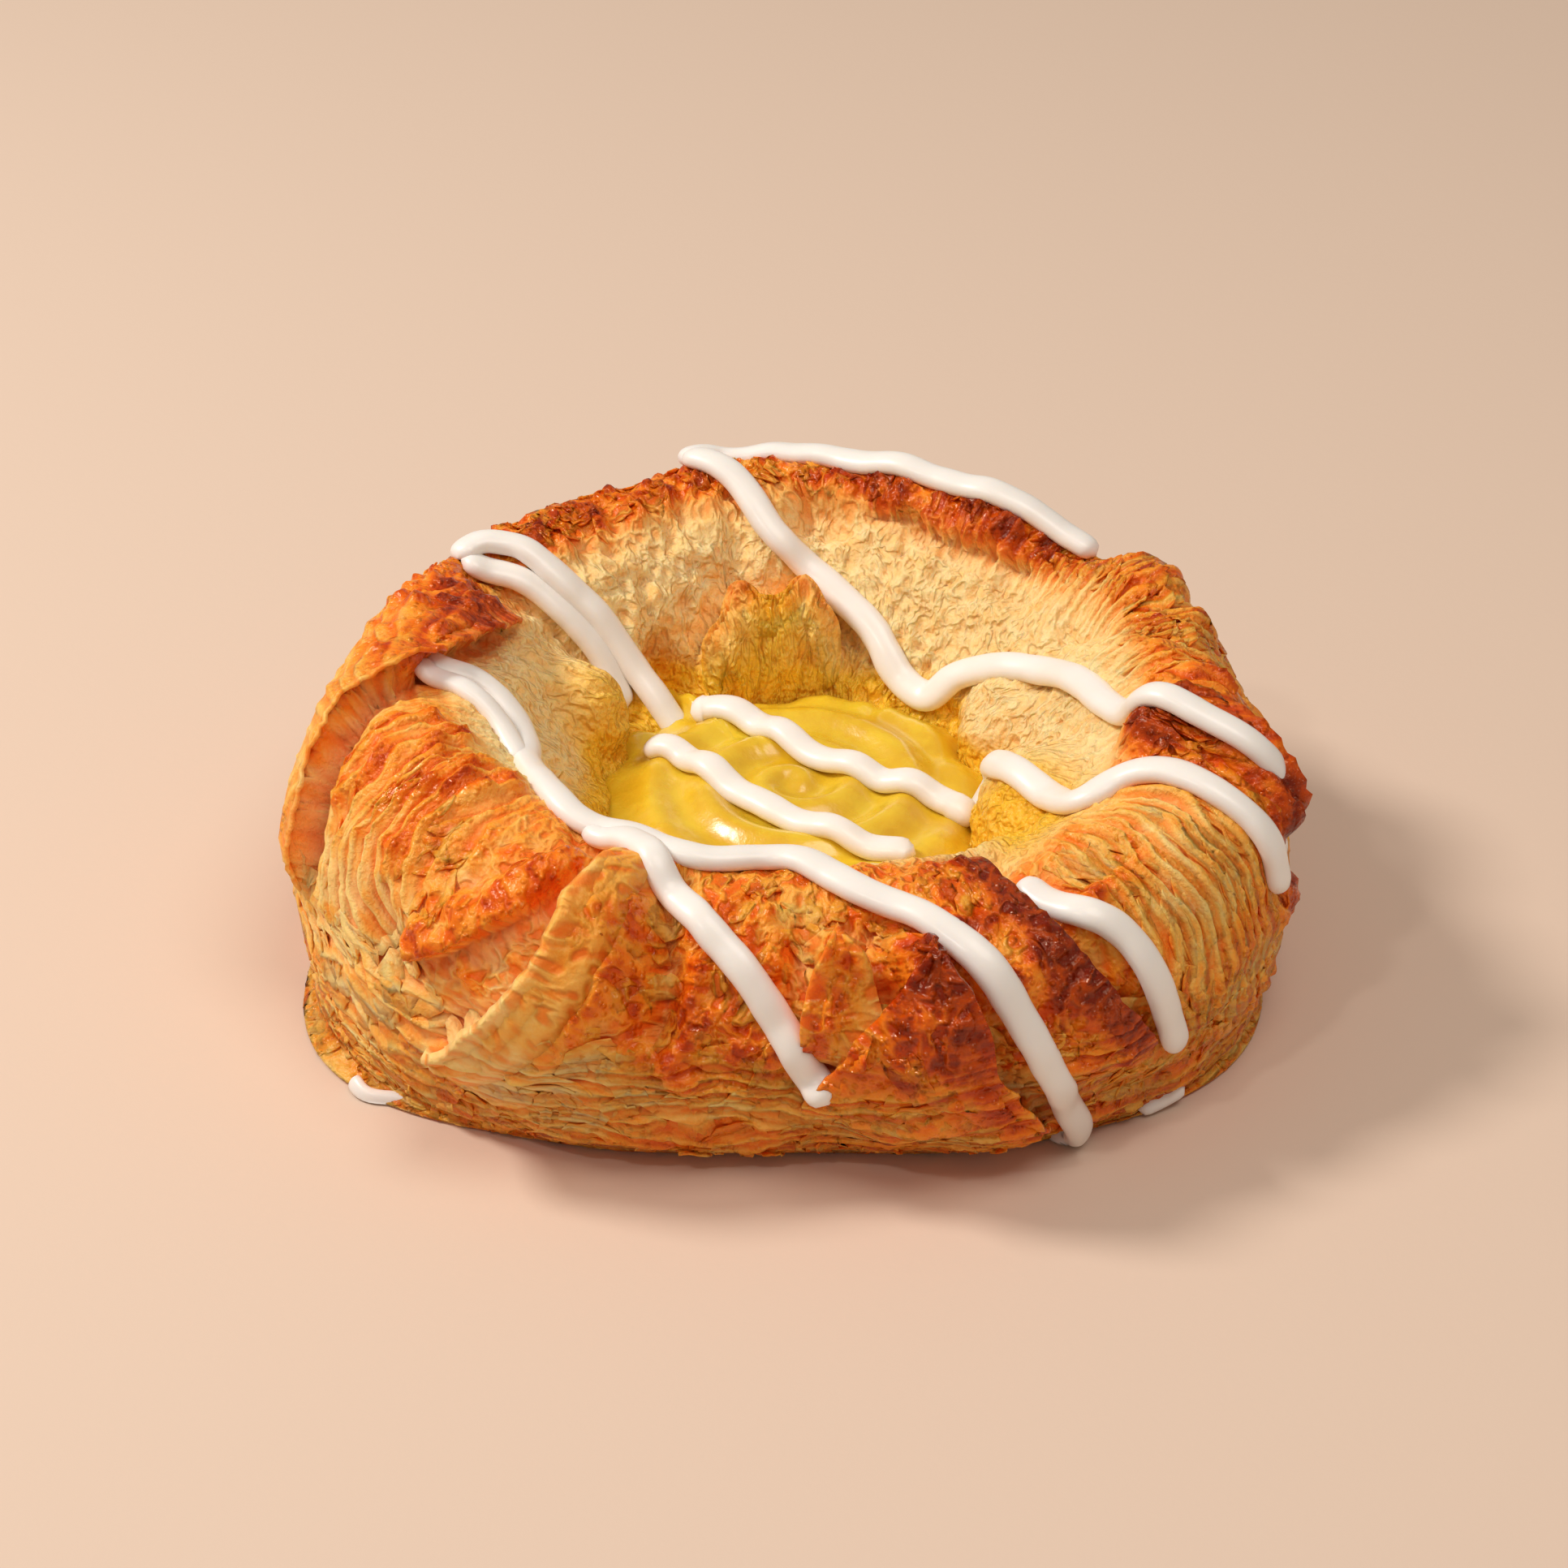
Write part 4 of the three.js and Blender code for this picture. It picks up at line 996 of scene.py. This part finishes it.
def sheets(name, d, points, places, tones, thick):
    """One piece of many thin sheets, from points [sheet, row, column], where they lie, and tones."""
    corner = np.arange(points[..., 0].size).reshape(points.shape[:3])
    faces = np.stack([corner[:, :-1, :-1], corner[:, :-1, 1:], corner[:, 1:, 1:], corner[:, 1:, :-1]], -1)
    mesh = bpy.data.meshes.new(name)
    mesh.from_pydata((points.reshape(-1, 3) * MM).tolist(), [], faces.reshape(-1, 4).tolist())
    piece = bpy.data.objects.new(name, mesh)
    bpy.context.collection.objects.link(piece)
    h, s = places.reshape(-1, 2).T
    for key, grid in d.levels.items():
        values = d.sample(blurred(grid, 2), h, s)
        if key == "bake":
            values = values + tones.ravel()
        # the sheets take a third of the painted shade of the hollows under them
        paint(piece, key, (values * (0.35 if key == "sunk" else 1)).clip(0, 1))
    for key in ("flow", "ply", "sheet"):
        paint(piece, key, d.sample(getattr(d, key), h, s))
    deselect()
    piece.select_set(True)
    bpy.context.view_layer.objects.active = piece
    bpy.ops.object.modifier_add(type="SOLIDIFY")
    body = piece.modifiers[-1]
    body.thickness, body.offset = thick * MM, 0
    bpy.ops.object.modifier_apply(modifier=body.name)
    bpy.ops.object.shade_smooth()
    dressed(piece, dough_material(), "dough", "dough")


class DANISH_OT_leaves(bpy.types.Operator):
    """Carry each flap on past its edge as a thin leaf"""

    bl_idname = "danish.leaves"
    bl_label = "Leaves"

    def execute(self, context):
        d = surface()
        for seed, (flap, reach, curl, tone, thick) in enumerate(LEAVES):
            grid, spots, tones = leaf(d, flap, reach, curl, tone, np.random.default_rng(seed))
            name = "leaf_of_the_" + flap.replace(",", "").replace(" ", "_")
            sheets(name, d, grid[None], spots[None], tones, thick)
        return {"FINISHED"}


class DANISH_OT_flakes(bpy.types.Operator):
    """Lay loose flakes and threads over the crust"""

    bl_idname = "danish.flakes"
    bl_label = "Flakes"

    def execute(self, context):
        d = surface()
        sizes = context.scene.danish_dough
        for seed, (name, thick, columns, rows, specs) in enumerate(FLAKES):
            specs = [(count * sizes.flakes, *rest) for count, *rest in specs]
            patch = loose_flakes(d, specs, columns, rows, np.random.default_rng(sizes.seed + seed))
            sheets(name, d, *patch, thick)
        return {"FINISHED"}


def shore(d):
    """Radius at which the dough's wall stands at the custard's edge, at each heading of the grid."""
    r = np.hypot(d.points[..., 0] - WELL_MIDDLE[0], d.points[..., 1] - WELL_MIDDLE[1])
    first = np.argmax(d.points[d.along < -6, :, 2] > CUSTARD_EDGE, axis=0)
    radii = r[first, np.arange(len(d.heading))]
    for _ in range(8):
        radii = (np.roll(radii, 1) + radii + np.roll(radii, -1)) / 3
    return radii


def custard_level(radius, heading, edge):
    """Height of the custard's piped top, in millimetres."""
    dome = 1 - (radius / edge) ** 5
    swirl = SWIRL_HEIGHT * np.cos(2 * math.pi * radius / SWIRL_PITCH - np.radians(heading))
    return CUSTARD_EDGE + (CUSTARD_TOP - CUSTARD_EDGE) * dome + swirl * np.minimum(dome.clip(0), radius / 2)


class DANISH_OT_custard(bpy.types.Operator):
    """Fill the well with custard"""

    bl_idname = "danish.custard"
    bl_label = "Custard"

    def execute(self, context):
        d = surface()
        over, under = CUSTARD_RINGS
        rings = over + under
        heading = np.arange(CUSTARD_AROUND) * 360.0 / CUSTARD_AROUND
        edge = np.interp(heading, d.heading, shore(d), period=360)
        share = np.concatenate([np.linspace(0.01, 1.06, over), np.linspace(1.04, 0.05, under)])[:, None]
        radius = share * edge[None, :]
        top = custard_level(radius, heading[None, :], edge[None, :])
        bottom = FLOOR + 0.6 + 3.5 * share ** 4
        z = np.where(np.arange(rings)[:, None] < over, top, np.minimum(bottom, top - 0.2))
        points = round_well(radius, heading[None, :], z)
        piece, _ = shaped_ball("custard_filling", CUSTARD_AROUND, rings, points)
        dressed(piece, custard_finish(), "custard", "custard")
        return {"FINISHED"}


def upright(line):
    """The way up from the crust under each point of a line: it leans outwards where the rim falls away."""
    centre = line - np.array([*WELL_MIDDLE, 0])
    radius = np.hypot(centre[:, 0], centre[:, 1])
    heading = np.degrees(np.arctan2(centre[:, 1], centre[:, 0]))
    outer, crest, well = (ring(sizes, heading) for sizes in (OUTER, CREST, WELL))
    lean = (radius - crest) / np.where(radius > crest, outer - crest, crest - well)
    lean = lean.clip(-0.6, 0.95)
    on_custard = (line[:, 2] < CUSTARD_TOP + 2) & (radius < well)
    lean = np.where(on_custard, 0, lean / np.sqrt(1 - lean * lean))
    lean = lean / radius.clip(1)
    return np.stack([centre[:, 0] * lean, centre[:, 1] * lean, np.ones(len(line))], -1)


def strand(name, points, share, sizes, seed):
    """A rounded strand of icing over points in millimetres."""
    phase = random.Random(seed).uniform(0, 100)
    length = np.concatenate([[0], np.cumsum(np.linalg.norm(np.diff(points, axis=0), axis=1))])
    count = max(12, int(length[-1] / LINE_STEP))
    where = np.linspace(0, length[-1], count)
    line = np.stack([np.interp(where, length, points[:, k]) for k in range(3)], -1)
    for _ in range(4):
        line[1:-1] = (line[:-2] + line[1:-1] * 2 + line[2:]) / 4
    tangent = unit(np.gradient(line, axis=0))
    across = unit(np.cross(tangent, upright(line)))
    up = np.cross(across, tangent)

    swell = np.stack([where / 2.2, 0 * where, 0 * where + phase], -1)
    swell = 1 + 0.12 * cloud(np.stack([where / 7, 0 * where + phase, 0 * where], -1)) + 0.06 * cloud(swell)
    half = sizes.width / MM / 2 * share
    to_end = np.minimum(where, where[-1] - where) / (half * 1.1)
    cap = np.sqrt(1 - (1 - to_end.clip(0, 1)) ** 2).clip(0.04)
    width = half * swell * cap
    thick = sizes.height / MM / 2 * share * (0.6 + 0.4 * cap) * (0.9 + 0.1 * swell) * cap ** 0.5
    turns = np.arange(ICING_SIDES) * 2 * math.pi / ICING_SIDES
    side = np.sign(np.cos(turns)) * np.abs(np.cos(turns)) ** 0.85
    rise = np.where(np.sin(turns) > 0, np.abs(np.sin(turns)) ** 0.9, 0.8 * np.sin(turns))
    points = line[:, None] + across[:, None] * (width[:, None] * side)[..., None]
    points += up[:, None] * (thick[:, None] * rise)[..., None]
    points[..., 2] = np.maximum(points[..., 2], 0.05)
    return shaped_ball(name, ICING_SIDES, count, points)[0]


class DANISH_OT_icing(bpy.types.Operator):
    """Drizzle the strands of icing"""

    bl_idname = "danish.icing"
    bl_label = "Icing"

    def execute(self, context):
        d = surface()
        sizes = context.scene.danish_icing
        material = icing_finish()
        for seed, (name, path, share) in enumerate(STRANDS):
            start = path[0][0]
            heading, along = curve(np.array([(start + float(wrap(h - start)), a) for h, a in path]), 6).T
            points = d.over(heading, along, ICING_LIFT * share + 0 * heading)
            piece = strand("icing_" + name, points, share, sizes, seed)
            dressed(piece, material, "icing", "dough")
        edge = shore(d)
        for seed, (name, path, share) in enumerate(CUSTARD_STRANDS):
            x, y = curve(np.array(path, float), 8).T
            heading = np.degrees(np.arctan2(y, x)) % 360
            level = custard_level(np.hypot(x, y), heading, np.interp(heading, d.heading, edge))
            points = np.stack([x + WELL_MIDDLE[0], y + WELL_MIDDLE[1], level + ICING_LIFT], -1)
            piece = strand("icing_custard_" + name, points, share, sizes, 50 + seed)
            dressed(piece, material, "icing", "custard")
        return {"FINISHED"}


# Round lights over the ground, in metres: (name, place, width, tint).
LIGHTS = [
    ("key", (-0.50, 0.08, 0.57), 0.18, (1.0, 0.95, 0.89)),
    ("fill", (0.20, -0.20, 0.78), 0.45, (1.0, 0.93, 0.86)),
    ("sparkle", (-0.26, -0.34, 0.56), 0.05, (1.0, 0.97, 0.93)),
]
LIGHT_AIM = Vector((0, 0, 0.01))
SKY = (1.0, 0.9, 0.79, 1)

# The camera looks along +Y, down at its pitch.
CAMERA_AIM = Vector((-0.0012, 0.00075, 0.015))
CAMERA_PITCH = math.radians(34)
CAMERA_DISTANCE = 0.470
CAMERA_LENS = 97.2
CAMERA_SHIFT = 20 / 1932


class DANISH_OT_stage(bpy.types.Operator):
    """Set the ground, the lights and the camera"""

    bl_idname = "danish.stage"
    bl_label = "Stage"

    def execute(self, context):
        looks = context.scene.danish_stage
        deselect()
        bpy.ops.mesh.primitive_plane_add(size=6, location=(0, 0, -0.0002))
        floor = bpy.context.object
        floor.name = "ground"
        f = Finish("ground_paper")
        f.set(Base_Color=tuple(looks.floor), Roughness=0.75, Specular_IOR_Level=0.2)
        f.bump(f.noise(1.2, 3), 0.08, 0.2)
        floor.data.materials.append(f.material)
        for name, place, width, tint in LIGHTS:
            deselect()
            bpy.ops.object.light_add(type="AREA", location=place)
            light = bpy.context.object
            light.name = name
            light.data.shape, light.data.size = "DISK", width
            light.data.energy, light.data.color = getattr(looks, name), tint
            light.rotation_euler = (LIGHT_AIM - Vector(place)).to_track_quat("-Z", "Y").to_euler()
        world = bpy.data.worlds.new("studio")
        world.use_nodes = True
        sky = world.node_tree.nodes["Background"].inputs
        sky[0].default_value, sky[1].default_value = SKY, looks.sky
        context.scene.world = world
        deselect()
        back = Vector((0, -math.cos(CAMERA_PITCH), math.sin(CAMERA_PITCH))) * CAMERA_DISTANCE
        bpy.ops.object.camera_add(location=CAMERA_AIM + back)
        camera = bpy.context.object
        camera.name = "camera"
        camera.rotation_euler = (math.pi / 2 - CAMERA_PITCH, 0, 0)
        camera.data.lens, camera.data.sensor_width = CAMERA_LENS, 36
        camera.data.shift_y = CAMERA_SHIFT
        camera.data.clip_start, camera.data.clip_end = 0.01, 20
        context.scene.camera = camera
        context.scene.view_settings.view_transform = "Standard"
        return {"FINISHED"}


class DANISH_PT_panel(bpy.types.Panel):
    """Steps that make the danish"""

    bl_idname = "DANISH_PT_panel"
    bl_label = "Custard danish"
    bl_space_type = "VIEW_3D"
    bl_region_type = "UI"
    bl_category = "Danish"

    def draw(self, context):
        for group in ("danish_dough", "danish_icing", "danish_stage"):
            settings = getattr(context.scene, group)
            for key in settings.__annotations__:
                self.layout.prop(settings, key)
        for step in STEPS:
            self.layout.operator(step.bl_idname)


STEPS = (DANISH_OT_dough, DANISH_OT_leaves, DANISH_OT_flakes, DANISH_OT_custard, DANISH_OT_icing, DANISH_OT_stage)
CLASSES = (DoughSizes, IcingSizes, StageSizes, *STEPS, DANISH_PT_panel)


def register():
    for cls in CLASSES:
        bpy.utils.register_class(cls)
    bpy.types.Scene.danish_dough = PointerProperty(type=DoughSizes)
    bpy.types.Scene.danish_icing = PointerProperty(type=IcingSizes)
    bpy.types.Scene.danish_stage = PointerProperty(type=StageSizes)


def unregister():
    for name in ("danish_dough", "danish_icing", "danish_stage"):
        delattr(bpy.types.Scene, name)
    for cls in reversed(CLASSES):
        bpy.utils.unregister_class(cls)


def main():
    register()
    for step in STEPS:
        family, name = step.bl_idname.split(".")
        getattr(getattr(bpy.ops, family), name)()


if __name__ == "__main__":
    main()
